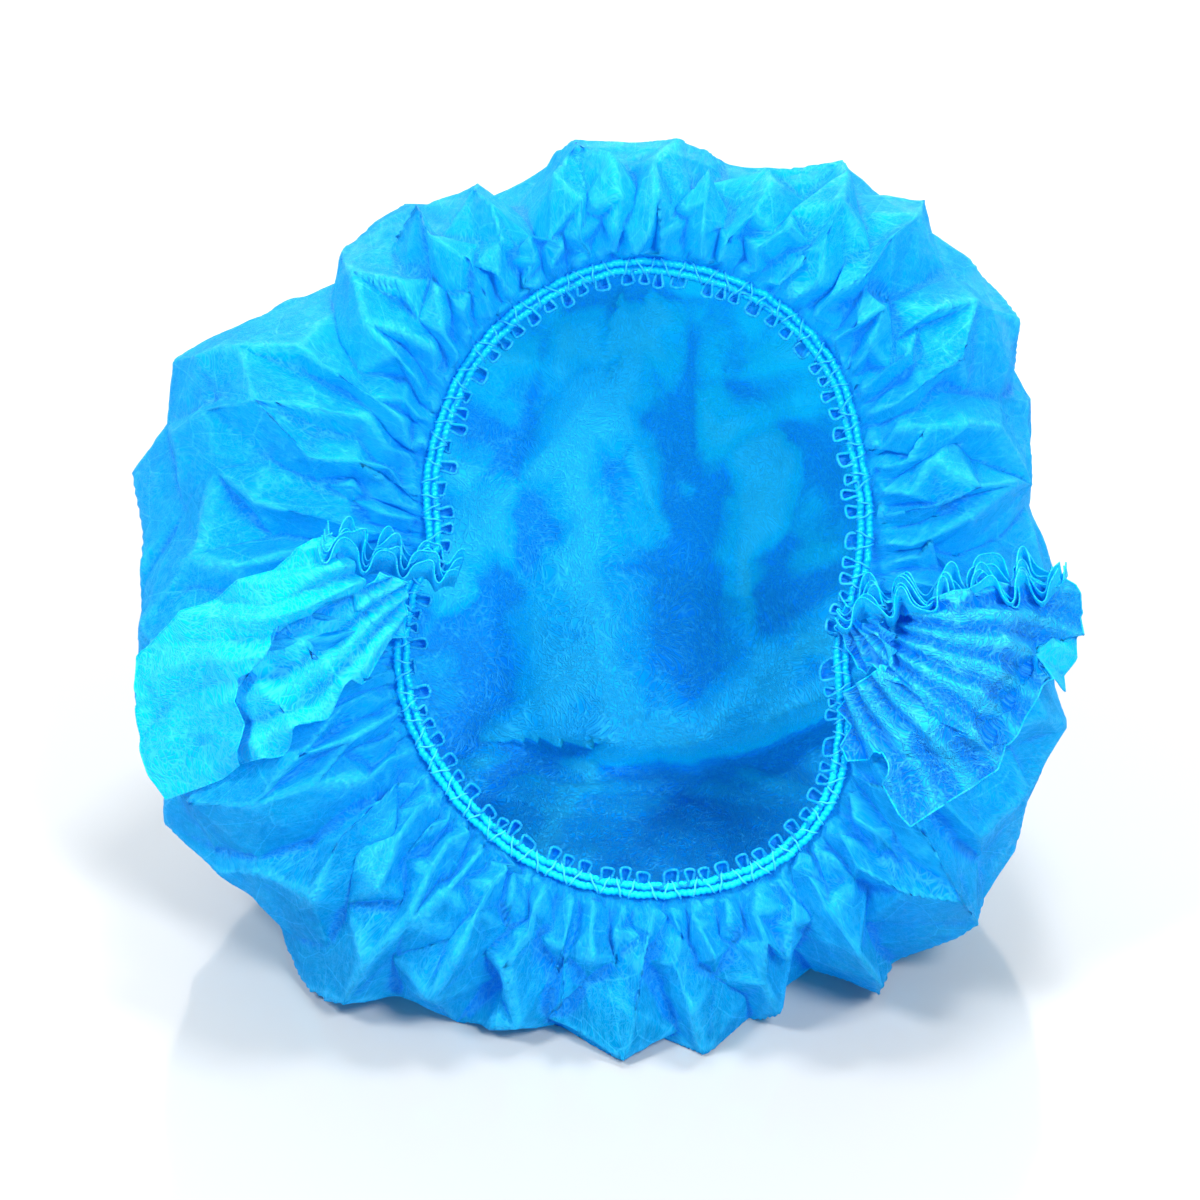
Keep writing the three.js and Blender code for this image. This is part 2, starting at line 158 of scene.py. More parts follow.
# the cloth is relaxed from a gathered start, then folded, pleated and creased, in millimetres
crownCloth = {
    "rings": 76, "bandRows": 2, "bandStep": 1.5, "waves": 76, "seed": 7, "drop": 1.3,
    "flatRadius": 266, "outlineAway": 88,
    "gathers": ((0, 2.5), (22, 1.9), (66, 1.25), (190, 1.12), (270, 1.03)), "ease": 1.025,
    "foldDepths": (2.8, 4.2, 5.4, 3.0), "foldReaches": (9, 24, 58, 150),
    "foldStarts": ((0, 10), (8, 22), (30, 50)), "warp": 0.0042, "swell": 0.3, "foldHold": 0.6,
    "steps": 240, "calmSteps": 30, "momentum": (0.9, 0.5), "pushEvery": 8, "push": 0.012,
    "shapeHold": 0.012, "freedom": 11, "heldWithin": 4,
    "edgeStiffness": 0.9, "foldStiffness": (0.03, 0.22), "overFloor": (0.3, 0.25),
    "panelSize": 30, "panelShare": 0.75, "panelSnap": 0.8, "panelFade": 50, "linesFrom": 95, "linesFade": 40,
    "pleatStart": 0.2, "pleatUneven": 0.12, "pleatRowStep": 0.9, "pleatFade": 12, "pleatSnap": 0.0005,
    "pleatWidest": 0.06,
    "creaseSpacing": (21, 9), "creaseDepths": (1.2, 0.4), "creaseSnap": 0.7, "creaseFrom": 6,
    "creaseFade": 1.6,
}

# ring of the cloth from its middle, folds round it, share taken up by flat panels, depth kept, extra depth
pleatRows = [
    (75, 152, 0.4, 1, 1.2), (74, 152, 0.9, 1, 2.4), (72, 152, 0.95, 1, 3.0), (70, 114, 0.95, 1.1, 3.2),
    (67, 88, 0.95, 1.1, 3.4), (63, 62, 0.95, 1, 3.0), (58, 46, 0.95, 0.7, 1.9), (53, 40, 0.95, 0.45, 1.1),
    (48, 38, 0.95, 0.3, 0.8), (43, 36, 0.9, 0.3, 0.7), (37, 30, 0.8, 0.5, 0.5), (31, 26, 0.8, 0.8, 0.3),
]


# crisp folds of the crown, seen through the opening: pixels along each fold, how proud it is in millimetres,
# and its width in pixels on the right and left of its line
crownLines = [
    {"line": [(604, 360), (580, 470), (592, 620), (602, 700), (590, 780), (540, 835)], "proud": 15,
     "widths": (62, 88)},
    {"line": [(440, 556), (505, 500), (560, 440), (594, 396)], "proud": 9, "widths": (60, 30)},
    {"line": [(618, 742), (690, 744), (760, 722), (832, 690)], "proud": 20, "widths": (26, 150)},
    {"line": [(690, 745), (742, 690), (800, 640), (842, 626)], "proud": 9, "widths": (30, 34)},
    {"line": [(640, 330), (628, 420), (655, 520)], "proud": 7, "widths": (34, 52)},
    {"line": [(770, 470), (742, 560), (752, 640)], "proud": 8, "widths": (44, 36)},
    {"line": [(455, 470), (530, 590), (545, 700)], "proud": 8, "widths": (38, 50)},
    {"line": [(480, 760), (530, 700), (560, 660)], "proud": 6, "widths": (40, 30)},
]


def hexDisc(rings, extraRows):  # triangles of a disc in rings of points; extra rows keep the last ring's size
    firstOf, sizeOf, faces = [0], [1], []
    count = 1
    for ring in range(1, rings + extraRows + 1):
        firstOf.append(count)
        sizeOf.append(6 * min(ring, rings))
        count += sizeOf[-1]
    for ring in range(1, rings + extraRows + 1):
        n, m = sizeOf[ring], sizeOf[ring - 1]
        outer = lambda i: firstOf[ring] + i % n
        inner = lambda i: firstOf[ring - 1] + i % m
        if n == m:
            for i in range(n):
                if (i + ring) % 2:
                    faces += [(inner(i), outer(i), outer(i + 1)), (inner(i), outer(i + 1), inner(i + 1))]
                else:
                    faces += [(inner(i), outer(i), inner(i + 1)), (outer(i), outer(i + 1), inner(i + 1))]
            continue
        for side in range(6):
            for i in range(ring):
                far, near = side * ring + i, side * (ring - 1) + i
                faces.append((inner(near), outer(far), outer(far + 1)))
                if i < ring - 1:
                    faces.append((inner(near), outer(far + 1), inner(near + 1)))
    ringOf = np.repeat(np.arange(rings + extraRows + 1), sizeOf)
    placeOf = np.concatenate([np.arange(n) / n for n in sizeOf])
    return np.array(faces), ringOf, placeOf


def halfEdges(faces):  # the sides of all triangles, in order of their points, and the corner across from each
    halves = np.concatenate([faces[:, [0, 1]], faces[:, [1, 2]], faces[:, [2, 0]]])
    return np.sort(halves, axis=1), np.concatenate([faces[:, 2], faces[:, 0], faces[:, 1]])


def edgesAndHinges(faces):  # pairs of points along each side and across it, in a fixed order
    halves, across = halfEdges(faces)
    order = np.lexsort((halves[:, 1], halves[:, 0]))
    halves, across = halves[order], across[order]
    same = np.all(halves[1:] == halves[:-1], axis=1)
    edges = halves[np.concatenate([[True], ~same])]
    hinges = np.stack([across[:-1][same], across[1:][same]], axis=1)
    return edges, hinges


def independentGroups(pairs, count):  # pairs split so that no point is in two pairs of a group
    used = [0] * count
    group = np.empty(len(pairs), dtype=int)
    for k, (a, b) in enumerate(pairs.tolist()):
        taken = used[a] | used[b]
        bit = ~taken & (taken + 1)
        used[a] |= bit
        used[b] |= bit
        group[k] = bit.bit_length() - 1
    return [np.nonzero(group == g)[0] for g in range(group.max() + 1)]


def unit(vectors, least=1e-9):
    return vectors / np.maximum(np.linalg.norm(vectors, axis=-1, keepdims=True), least)


def vertexNormals(points, faces):
    a, b, c = (points[faces[:, k]] for k in range(3))
    face = np.cross(b - a, c - a)
    normals = np.empty_like(points)
    for axis in range(3):
        weights = np.concatenate([face[:, axis]] * 3)
        normals[:, axis] = np.bincount(faces.T.ravel(), weights=weights, minlength=len(points))
    return unit(normals)


def about(rng, reach, shape=None):  # random values round zero
    return rng.uniform(-reach, reach, shape)


def waveNoise(rng, count, lowest, highest):  # smooth periodic noise over 0..1 as a function
    turns = rng.integers(lowest, highest + 1, count)
    phase = rng.uniform(0, 2 * math.pi, count)
    waves = list(zip(turns, phase))
    return lambda place: sum(np.sin(2 * math.pi * k * place + p) for k, p in waves) / math.sqrt(count)


def capSurface(angle, along):  # the smooth cap with its creases, clefts and crown folds
    radius, height = sectionPoint(angle, along)
    step = 0.01
    r0, h0 = sectionPoint(angle, np.maximum(0, along - step))
    r1, h1 = sectionPoint(angle, np.minimum(2, along + step))
    normal = unit(np.stack([h1 - h0, r0 - r1], axis=-1))
    acrossRim = smoothStep((along - 0.9) / 0.5) * np.clip((2.05 - along) / 0.35, 0, 1)
    overOutline = smoothStep((along - 0.55) / 0.4) * np.clip((2 - along) / 0.7, 0, 1)
    fold = np.zeros_like(radius)
    for crease, width, depth in outlineCreases:
        aside = np.abs(turnBetween(angle, crease)) / width
        fold += capShape["creaseDepth"] * depth * overOutline * np.maximum(0, 1 - aside)
    for cleft, width in earClefts:
        aside = turnBetween(angle, cleft) / width
        fold -= capShape["cleftDepth"] * acrossRim * np.exp(-aside * aside)
    radius = radius + normal[..., 0] * fold
    height = height + normal[..., 1] * fold
    around = np.radians(angle)
    x, up = radius * np.cos(around), radius * np.sin(around)
    back = 1 - smoothStep((along - 0.6) / 0.35)
    inward = np.zeros_like(x)
    for foldX, foldUp, length, across, turn, depth in crownFolds:
        turn = math.radians(turn)
        dx, dy = x / meanCap - foldX, up / meanCap - foldUp
        lengthwise = (dx * math.cos(turn) + dy * math.sin(turn)) / length
        sideways = (dy * math.cos(turn) - dx * math.sin(turn)) / across
        ridge = 0.35 * smoothStep(1 - np.abs(sideways)) + 0.65 * np.clip(1 - np.abs(sideways), 0, 1)
        inward += depth * capShape["capDepth"] * ridge * np.clip(1 - lengthwise * lengthwise, 0, 1)
    return x, up, height + back * inward, normal


def evenAlong(angle, share):  # place on the section at even steps of cloth, and the section's length
    fine = np.linspace(0, 2, 401)
    grid = np.arange(0, 360, 5)
    lengths = []
    for g in grid:
        r, h = sectionPoint(np.full(401, float(g)), fine)
        lengths.append(np.concatenate([[0], np.cumsum(np.hypot(np.diff(r), np.diff(h)))]))
    lengths = np.array(lengths + [lengths[0]])
    along, total = np.empty(len(share)), np.empty(len(share))
    for i, g in enumerate(grid):
        inside = (angle >= g) & (angle < g + 5)
        t = (angle[inside] - g) / 5
        a = np.interp(share[inside], lengths[i] / lengths[i][-1], fine)
        b = np.interp(share[inside], lengths[i + 1] / lengths[i + 1][-1], fine)
        along[inside] = a + (b - a) * t
        total[inside] = lengths[i][-1] * (1 - t) + lengths[i + 1][-1] * t
    return along, total


def crownStart(spec):  # the gathered cloth on the cap's shape before it is relaxed
    faces, ringOf, placeOf = hexDisc(spec["rings"], spec["bandRows"])
    rng = np.random.default_rng(spec["seed"])
    angle = placeOf * 360
    share = np.minimum(ringOf / spec["rings"], 1)
    along, total = evenAlong(angle, share)
    x, up, height, normal = capSurface(angle, along)
    around = np.radians(angle)
    outward = total * (1 - share)  # cloth distance from the elastic
    beyond = np.maximum(ringOf - spec["rings"], 0)
    radius = np.hypot(x, up) - beyond * bandWidth / spec["bandRows"]
    x, up = radius * np.cos(around), radius * np.sin(around)
    # gathers: fine at the elastic, joining into fewer and deeper folds away from it
    warp = waveNoise(rng, 6, 2, 15)(placeOf) * spec["warp"]
    place = placeOf + warp
    waves = spec["waves"]
    depths = spec["foldDepths"]
    fades = [np.exp(-(outward / reach) ** 2) for reach in spec["foldReaches"]]
    rises = [smoothStep((outward - start) / over) for start, over in spec["foldStarts"]]
    swell = 1 + spec["swell"] * waveNoise(rng, 4, 5, 23)(placeOf)
    nearBand = np.where(beyond > 0, 0.15, np.clip(outward / 5, 0.22, 1))
    fold = depths[0] * swell * np.sin(2 * math.pi * waves * place) * nearBand * fades[0]
    half = np.sin(2 * math.pi * waves / 2 * place + 1.1)
    fold += depths[1] * half * rises[0] * fades[1] * swell
    quarter = np.sin(2 * math.pi * round(waves / 4) * (place + warp) + 2.0)
    fold += depths[2] * quarter * rises[1] * fades[2] * swell
    eighth = waveNoise(rng, 4, 7, 17)(placeOf)
    fold += depths[3] * eighth * rises[2] * fades[3]
    atBand = smoothStep(1 - outward / 12)
    out, front = normal[..., 0], normal[..., 1]
    facing = np.stack([out * np.cos(around), out * np.sin(around), front], axis=-1)
    facing = facing * (1 - atBand)[:, None] + np.array([0, 0, 1.0]) * atBand[:, None]
    side = facing[:, :1] * np.array([1.0, 0, 0]) + facing[:, 1:2] * upAxis + facing[:, 2:] * forward
    back = -spec["drop"] * atBand[:, None] * forward  # the cloth lies behind the cords
    base = placed(x, up, height)
    reach = spec["flatRadius"] * share + beyond * spec["bandStep"]
    return {
        "faces": faces, "ringOf": ringOf, "placeOf": placeOf, "base": base, "side": side,
        "start": base + side * fold[:, None] + back,
        "hold": base + side * fold[:, None] * spec["foldHold"] + back,
        "flat": np.stack([np.cos(around) * reach, np.sin(around) * reach], axis=-1),
        "outward": outward, "beyond": beyond,
    }


def relaxCloth(cloth, spec):  # the cloth keeps its lengths near the cap's shape and settles into folds
    faces, base, outward = cloth["faces"], cloth["base"], cloth["outward"]
    points = cloth["start"].copy()
    edges, hinges = edgesAndHinges(faces)
    middle = placed(0.0, 0.0, 0.0)
    ratioAt, ratios = zip(*spec["gathers"])

    def restLength(pairs):  # gathered round the cap, nearly plain along it
        a, b = pairs[:, 0], pairs[:, 1]
        gap = base[b] - base[a]
        out = (base[a] + base[b]) / 2 - middle
        around = unit(np.stack([-(out @ upAxis), out[:, 0]], axis=-1), 1e-6)
        tangent = around[:, :1] * np.array([1.0, 0, 0]) + around[:, 1:] * upAxis
        roundPart = np.sum(gap * tangent, axis=1)
        alongPart = np.sqrt(np.maximum(np.sum(gap * gap, axis=1) - roundPart ** 2, 0))
        ratio = np.interp((outward[a] + outward[b]) / 2, ratioAt, ratios)
        return np.hypot(roundPart * ratio, alongPart * spec["ease"])

    fixed = (cloth["beyond"] > 0) | (outward < spec["heldWithin"])
    weight = np.where(fixed, 0.0, 1.0)
    sets = []
    for pairs, kind in ((edges, "edge"), (hinges, "hinge")):
        rest = restLength(pairs)
        away = smoothStep((outward[pairs[:, 0]] - 8) / 60)
        least, more = (spec["edgeStiffness"], 0) if kind == "edge" else spec["foldStiffness"]
        stiffness = least + more * away
        for index in independentGroups(pairs, len(points)):
            a, b = pairs[index, 0], pairs[index, 1]
            both = weight[a] + weight[b]
            keep = both > 0
            a, b, index, both = a[keep], b[keep], index[keep], both[keep]
            shares = (weight[a] / both)[:, None], (weight[b] / both)[:, None]
            sets.append((kind, a, b, rest[index], stiffness[index], shares))
    print("cloth relaxes:", len(points), "points,", len(edges), "edges,", len(sets), "groups")
    previous = points.copy()
    hold = cloth["hold"]
    freedom = spec["freedom"] * np.clip(outward / 30, 0.3, 1)
    holdAt = (spec["shapeHold"] * np.clip(1.6 - outward / 160, 0.6, 1.6))[:, None]
    for step in range(spec["steps"]):
        momentum = spec["momentum"][step >= spec["steps"] - spec["calmSteps"]]
        if step % spec["pushEvery"] == 0:
            push = vertexNormals(points, faces) * spec["push"]
        moved = points + momentum * (points - previous) + push
        moved += (hold - moved) * holdAt
        previous = points
        points = np.where(fixed[:, None], points, moved)
        for kind, a, b, rest, stiffness, (shareA, shareB) in sets:
            gap = points[b] - points[a]
            length = np.sqrt(np.einsum("ij,ij->i", gap, gap))
            over = length - rest
            if kind == "hinge":
                over = np.minimum(over, 0)
            gap *= (over * stiffness / np.maximum(length, 1e-6))[:, None]
            points[a] += gap * shareA
            points[b] -= gap * shareB
        off = points - base
        far = np.linalg.norm(off, axis=1)
        points = base + off * (np.minimum(1, freedom / np.maximum(far, 1e-6)))[:, None]
        points[:, 2] = np.maximum(points[:, 2], spec["overFloor"][0])
    return points


def facetWeights(flat, seeds, snap=0.0):  # the three seeds round each point, and how much of each
    _, _, triangles, _, _, _ = geometry.delaunay_2d_cdt([Vector(s) for s in seeds], [], [], 0, 1e-7)
    corners = np.zeros((len(flat), 3), dtype=int)
    weights = np.full((len(flat), 3), 1 / 3)
    order = np.argsort(flat[:, 0])
    sortedX = flat[order, 0]
    for a, b, c in triangles:
        p, q, r = seeds[a], seeds[b], seeds[c]
        i, j = np.searchsorted(sortedX, (min(p[0], q[0], r[0]), max(p[0], q[0], r[0])))
        pick = order[i:j]
        y = flat[pick, 1]
        pick = pick[(y >= min(p[1], q[1], r[1])) & (y <= max(p[1], q[1], r[1]))]
        twice = (q[0] - p[0]) * (r[1] - p[1]) - (r[0] - p[0]) * (q[1] - p[1])
        if not len(pick) or abs(twice) < 1e-12:
            continue
        dx, dy = flat[pick, 0] - p[0], flat[pick, 1] - p[1]
        u = (dx * (r[1] - p[1]) - dy * (r[0] - p[0])) / twice
        v = (dy * (q[0] - p[0]) - dx * (q[1] - p[1])) / twice
        inside = (u >= -1e-6) & (v >= -1e-6) & (u + v <= 1 + 1e-6)
        pick, share = pick[inside], np.stack([1 - u - v, u, v], axis=1)[inside]
        if snap:  # points beside a crease move onto it, which keeps it sharp
            sides = np.array([np.linalg.norm(q - r), np.linalg.norm(r - p), np.linalg.norm(p - q)])
            snapped = np.where(share * abs(twice) / sides < snap, 0, share)
            left = snapped.sum(axis=1, keepdims=True)
            share = np.where(left > 0.2, snapped / np.maximum(left, 0.2), share)
        corners[pick] = (a, b, c)
        weights[pick] = share
    return corners, weights


def scatteredSeeds(size, spacing, rng):  # uneven places about that far apart
    grid = np.arange(-size - spacing * 2, size + spacing * 2, spacing)
    gx, gy = np.meshgrid(grid, grid)
    gx[1::2] += spacing / 2
    return np.stack([gx.ravel(), gy.ravel()], axis=1) + about(rng, 0.42, (gx.size, 2)) * spacing


def creased(flat, spacing, rng, snap=0.0):  # random heights joined by flat facets, with sharp creases between
    middle = (flat.min(axis=0) + flat.max(axis=0)) / 2
    seeds = scatteredSeeds(np.abs(flat - middle).max(), spacing, rng) + middle
    heights = about(rng, 1, len(seeds))
    corners, weights = facetWeights(flat, seeds, snap)
    return np.sum(heights[corners] * weights, axis=1)


def finerMesh(points, faces, flat):  # each triangle in four, the new points rounded by their neighbours
    halves, across = halfEdges(faces)
    edges, which = np.unique(halves, axis=0, return_inverse=True)
    which = which.ravel()
    opposite = np.stack([np.bincount(which, weights=points[across, axis]) for axis in range(3)], axis=1)
    middle = (points[edges[:, 0]] + points[edges[:, 1]]) / 2
    shared = np.bincount(which) == 2
    middle[shared] = middle[shared] * 0.75 + opposite[shared] / 8
    ab, bc, ca = which.reshape(3, -1) + len(points)
    a, b, c = faces.T
    finer = [np.stack(corners, axis=1) for corners in ((a, ab, ca), (ab, b, bc), (ca, bc, c), (ab, bc, ca))]
    finerFlat = np.concatenate([flat, flat[edges].mean(axis=1)])
    return np.concatenate([points, middle]), np.concatenate(finer), finerFlat


def inPanels(points, flat, spacing, rng, snap):  # the same surface in flat panels between a few of its points
    seeds = scatteredSeeds(np.abs(flat).max(), spacing, rng)
    reach = np.hypot(flat[:, 0], flat[:, 1]).max()
    seeds = seeds[np.hypot(seeds[:, 0], seeds[:, 1]) < reach + spacing]
    tree = kdtree.KDTree(len(flat))
    for i, (x, y) in enumerate(flat.tolist()):
        tree.insert((x, y, 0), i)
    tree.balance()
    nearest = np.array([tree.find((x, y, 0))[1] for x, y in seeds.tolist()])
    seeds, unique = np.unique(flat[nearest], axis=0, return_index=True)
    places = points[nearest[unique]]
    corners, weights = facetWeights(flat, seeds, snap)
    return np.sum(places[corners] * weights[..., None], axis=1)


def inPleats(cloth, points, flat, spec, rng):  # sharp pleats between the folds' own crests and valleys
    ringOf, placeOf = cloth["ringOf"], cloth["placeOf"]
    proud = np.sum((points - cloth["base"]) * cloth["side"], axis=1)
    step = [1 / row[1] for row in pleatRows]
    across = [spec["pleatRowStep"] * (a + b) / 2 for a, b in zip(step, step[1:])]
    across = np.concatenate([[0], np.cumsum(across)])
    rings = np.array([row[0] for row in pleatRows], dtype=float)
    seeds, places = [], []
    for (ring, count, _, kept, extra), level in zip(pleatRows, across):
        members = np.nonzero(ringOf == ring)[0]
        start = about(rng, spec["pleatStart"])
        cuts = np.round((np.arange(count + 1) + start) / count * len(members)).astype(int)
        for k in range(count):
            inside = members[np.arange(cuts[k], max(cuts[k + 1], cuts[k] + 1)) % len(members)]
            crest = k % 2 == 0
            chosen = inside[np.argmax(proud[inside]) if crest else np.argmin(proud[inside])]
            for lap in (-1, 0, 1):
                turn = placeOf[chosen] + lap
                if -0.12 < turn < 1.12:
                    seeds.append((turn, level + about(rng, spec["pleatUneven"]) / count))
                    raised = extra * (1 if crest else -1) - proud[chosen] * (1 - kept)
                    places.append(points[chosen] + cloth["side"][chosen] * raised)
    seeds, places = np.array(seeds), np.array(places)
    turn = np.mod(np.degrees(np.arctan2(flat[:, 1], flat[:, 0])) / 360, 1)
    ring = np.hypot(flat[:, 0], flat[:, 1]) / spec["flatRadius"] * spec["rings"]
    level = np.interp(-ring, -rings, across)
    share = np.interp(-ring, -rings, [row[2] for row in pleatRows], left=0, right=0)
    share *= smoothStep((ring - rings[-1]) / spec["pleatFade"])
    inside = share > 0
    corners, weights = facetWeights(np.stack([turn, level], axis=1)[inside], seeds, spec["pleatSnap"])
    result = np.zeros((len(flat), 3))
    result[inside] = np.sum(places[corners] * weights[..., None], axis=1)
    apart = np.ptp(seeds[corners][..., 0], axis=1)
    share[inside] *= (apart > 0) & (apart < spec["pleatWidest"])
    return result, share


def pixelsOf(points):  # where the picture's frame shows a point, seen square to the opening
    apart = points - placed(0.0, 0.0, 0.0)
    near = 1 - apart @ forward / view["distance"]
    px = view["middle"] + (apart[:, 0] / view["perPixel"] + view["openingX"] - view["middle"]) / near
    py = view["middle"] - (apart @ upAxis / view["perPixel"] + view["middle"] - view["openingY"]) / near
    return px, py


def foldHeights(px, py, folds):  # straight-sided folds along lines in the picture
    total = np.zeros(len(px))
    for fold in folds:
        line = np.array(fold["line"], dtype=float)
        nearest, side = np.full(len(px), np.inf), np.zeros(len(px))
        for (ax, ay), (bx, by) in zip(line, line[1:]):
            dx, dy = bx - ax, by - ay
            t = np.clip(((px - ax) * dx + (py - ay) * dy) / (dx * dx + dy * dy), 0, 1)
            gapX, gapY = px - ax - t * dx, py - ay - t * dy
            gap = np.hypot(gapX, gapY)
            side = np.where(gap < nearest, dx * gapY - dy * gapX, side)
            nearest = np.minimum(nearest, gap)
        width = np.where(side > 0, fold["widths"][0], fold["widths"][1])
        total += fold["proud"] * np.clip(1 - nearest / width, 0, 1)
    return total


def readAll(items, field, width, kind=float):  # one row for each of the items
    values = np.empty(len(items) * width, dtype=kind)
    items.foreach_get(field, values)
    return values.reshape(-1, width)


def cornerPoints(mesh):  # the point of each face's corner
    return readAll(mesh.loops, "vertex_index", 1, np.int32).ravel()


def newObject(name, data):
    made = bpy.data.objects.new(name, data)
    bpy.context.collection.objects.link(made)
    return made


flatUnit = 100  # millimetres of flat cloth for one step of the layer that keeps its place


def meshPiece(name, points, faces, flat=None):
    mesh = bpy.data.meshes.new(name)
    mesh.from_pydata((points * mm).tolist(), [], [list(map(int, f)) for f in faces])
    if flat is not None:
        layer = mesh.uv_layers.new(name="clothFlat")
        layer.data.foreach_set("uv", (flat[cornerPoints(mesh)] / flatUnit).ravel())
    mesh.polygons.foreach_set("use_smooth", [True] * len(mesh.polygons))
    mesh.validate()
    return newObject(name, mesh)


def applied(piece):  # the piece with its modifiers made real
    depsgraph = bpy.context.evaluated_depsgraph_get()
    mesh = bpy.data.meshes.new_from_object(piece.evaluated_get(depsgraph))
    piece.modifiers.clear()
    old = piece.data
    piece.data = mesh
    bpy.data.meshes.remove(old)
    return piece


def meshArrays(mesh):  # points in millimetres, triangles, flat place of each point
    points = readAll(mesh.vertices, "co", 3) / mm
    mesh.calc_loop_triangles()
    triangles = readAll(mesh.loop_triangles, "vertices", 3, np.int32)
    flat = np.zeros((len(points), 2))
    flat[cornerPoints(mesh)] = readAll(mesh.uv_layers["clothFlat"].data, "uv", 2) * flatUnit
    return points, triangles, flat


def makeCrown(spec):
    cloth = crownStart(spec)
    points = relaxCloth(cloth, spec)
    print("cloth relaxed")
    fine, triangles, flat = finerMesh(points, cloth["faces"], cloth["flat"])
    rng = np.random.default_rng(spec["seed"] + 100)
    away = spec["flatRadius"] - np.hypot(flat[:, 0], flat[:, 1])
    panels = inPanels(fine, flat, spec["panelSize"], rng, spec["panelSnap"])
    share = spec["panelShare"] * smoothStep((away - spec["outlineAway"]) / spec["panelFade"])
    fine += (panels - fine) * share[:, None]
    share = smoothStep((away - spec["linesFrom"]) / spec["linesFade"])
    fine += forward * (foldHeights(*pixelsOf(fine), crownLines) * share)[:, None]
    pleats, share = inPleats(cloth, points, flat, spec, rng)
    fine += (pleats - fine) * share[:, None]
    crumple = np.zeros(len(fine))
    for spacing, depth in zip(spec["creaseSpacing"], spec["creaseDepths"]):
        facets = creased(flat, spacing, rng, spec["creaseSnap"])
        crumple += depth * facets * smoothStep((away - spec["creaseFrom"]) / (spacing * spec["creaseFade"]))
    fine += vertexNormals(fine, triangles) * crumple[:, None]
    fine[:, 2] = np.maximum(fine[:, 2], spec["overFloor"][1])
    faces = triangles.tolist()
    hemPoints, hemFaces, hemFlat, hemSlots = hemLoops(hemLook)
    points, allFaces = joinedParts([(fine, faces), (hemPoints, hemFaces)])
    piece = meshPiece("cap_cloth", points, allFaces, np.concatenate([flat, hemFlat]))
    piece.data.polygons.foreach_set("material_index", [0] * len(faces) + hemSlots)
    return piece


# materials
def addNode(tree, kind, inputs=None, **settings):  # a shader node; inputs are values or other nodes' outputs
    made = tree.nodes.new(kind)
    for name, value in settings.items():
        setattr(made, name, value)
    for name, value in (inputs or {}).items():
        if isinstance(value, bpy.types.NodeSocket):
            tree.links.new(value, made.inputs[name])
        else:
            made.inputs[name].default_value = value
    return made


def newGroup(name, inputs, outputs):  # an empty node group with its ends
    group = bpy.data.node_groups.new(name, "ShaderNodeTree")
    for label, value in inputs:
        socket = group.interface.new_socket(label, in_out="INPUT", socket_type="NodeSocketFloat")
        socket.default_value = value
    for label in outputs:
        group.interface.new_socket(label, in_out="OUTPUT", socket_type="NodeSocketFloat")
    return group, group.nodes.new("NodeGroupInput"), group.nodes.new("NodeGroupOutput")


def newTree(name):  # a material with an empty node tree
    material = bpy.data.materials.new(name)
    material.use_nodes = True
    material.node_tree.nodes.clear()
    return material, material.node_tree


def mathNode(tree, operation, *values, clamp=False):
    inputs = dict(enumerate(values))
    return addNode(tree, "ShaderNodeMath", inputs, operation=operation, use_clamp=clamp).outputs[0]


def times(tree, *values):
    return mathNode(tree, "MULTIPLY", *values)


def lessShare(tree, start, mask, share):  # start less that share of the mask
    return mathNode(tree, "SUBTRACT", start, times(tree, mask, share))


def thinLine(tree, away, width):  # 1 on a line, falling to 0 at its width
    return mathNode(tree, "SUBTRACT", 1.0, mathNode(tree, "DIVIDE", away, width), clamp=True)


def vectorNode(tree, operation, *values, **named):
    return addNode(tree, "ShaderNodeVectorMath", {**dict(enumerate(values)), **named}, operation=operation)


def mapped(tree, value, fromMin, fromMax, toMin=0.0, toMax=1.0):
    inputs = {"Value": value, "From Min": fromMin, "From Max": fromMax, "To Min": toMin, "To Max": toMax}
    return addNode(tree, "ShaderNodeMapRange", inputs).outputs[0]


def mixColours(tree, factor, first, second):
    return addNode(tree, "ShaderNodeMix", {0: factor, 6: first, 7: second}, data_type="RGBA").outputs[2]


def mixShaders(tree, factor, first, second):
    return addNode(tree, "ShaderNodeMixShader", {0: factor, 1: first.outputs[0], 2: second.outputs[0]})


def attribute(tree, name):
    return addNode(tree, "ShaderNodeAttribute", attribute_name=name).outputs["Fac"]


def flatPlace(tree):  # place on the flat cloth in millimetres
    cloth = addNode(tree, "ShaderNodeUVMap", uv_map="clothFlat")
    return vectorNode(tree, "MULTIPLY", cloth.outputs[0], (flatUnit,) * 3).outputs[0]


def flatNoise(tree, place, scale, detail=0.0):
    inputs = {"Vector": place, "Scale": scale, "Detail": detail}
    return addNode(tree, "ShaderNodeTexNoise", inputs, noise_dimensions="2D").outputs


# fibres and veins in the flat cloth's millimetres; directions are an angle and a shift
fibreLook = {
    "length": 4.0, "width": 0.4, "fineness": 0.35, "sharpness": 0.09,
    "swirl": 3.2, "swirlScale": 0.07, "swirlSpread": (3, 3, 0),
    "directions": ((12, 0.0), (104, 40.0), (60, 90.0)), "cloudScale": 0.3, "cloudRange": (0.3, 0.7),
    "relief": (0.6, 0.6),
}
veinLook = {"spacing": 20.0, "width": 0.4}


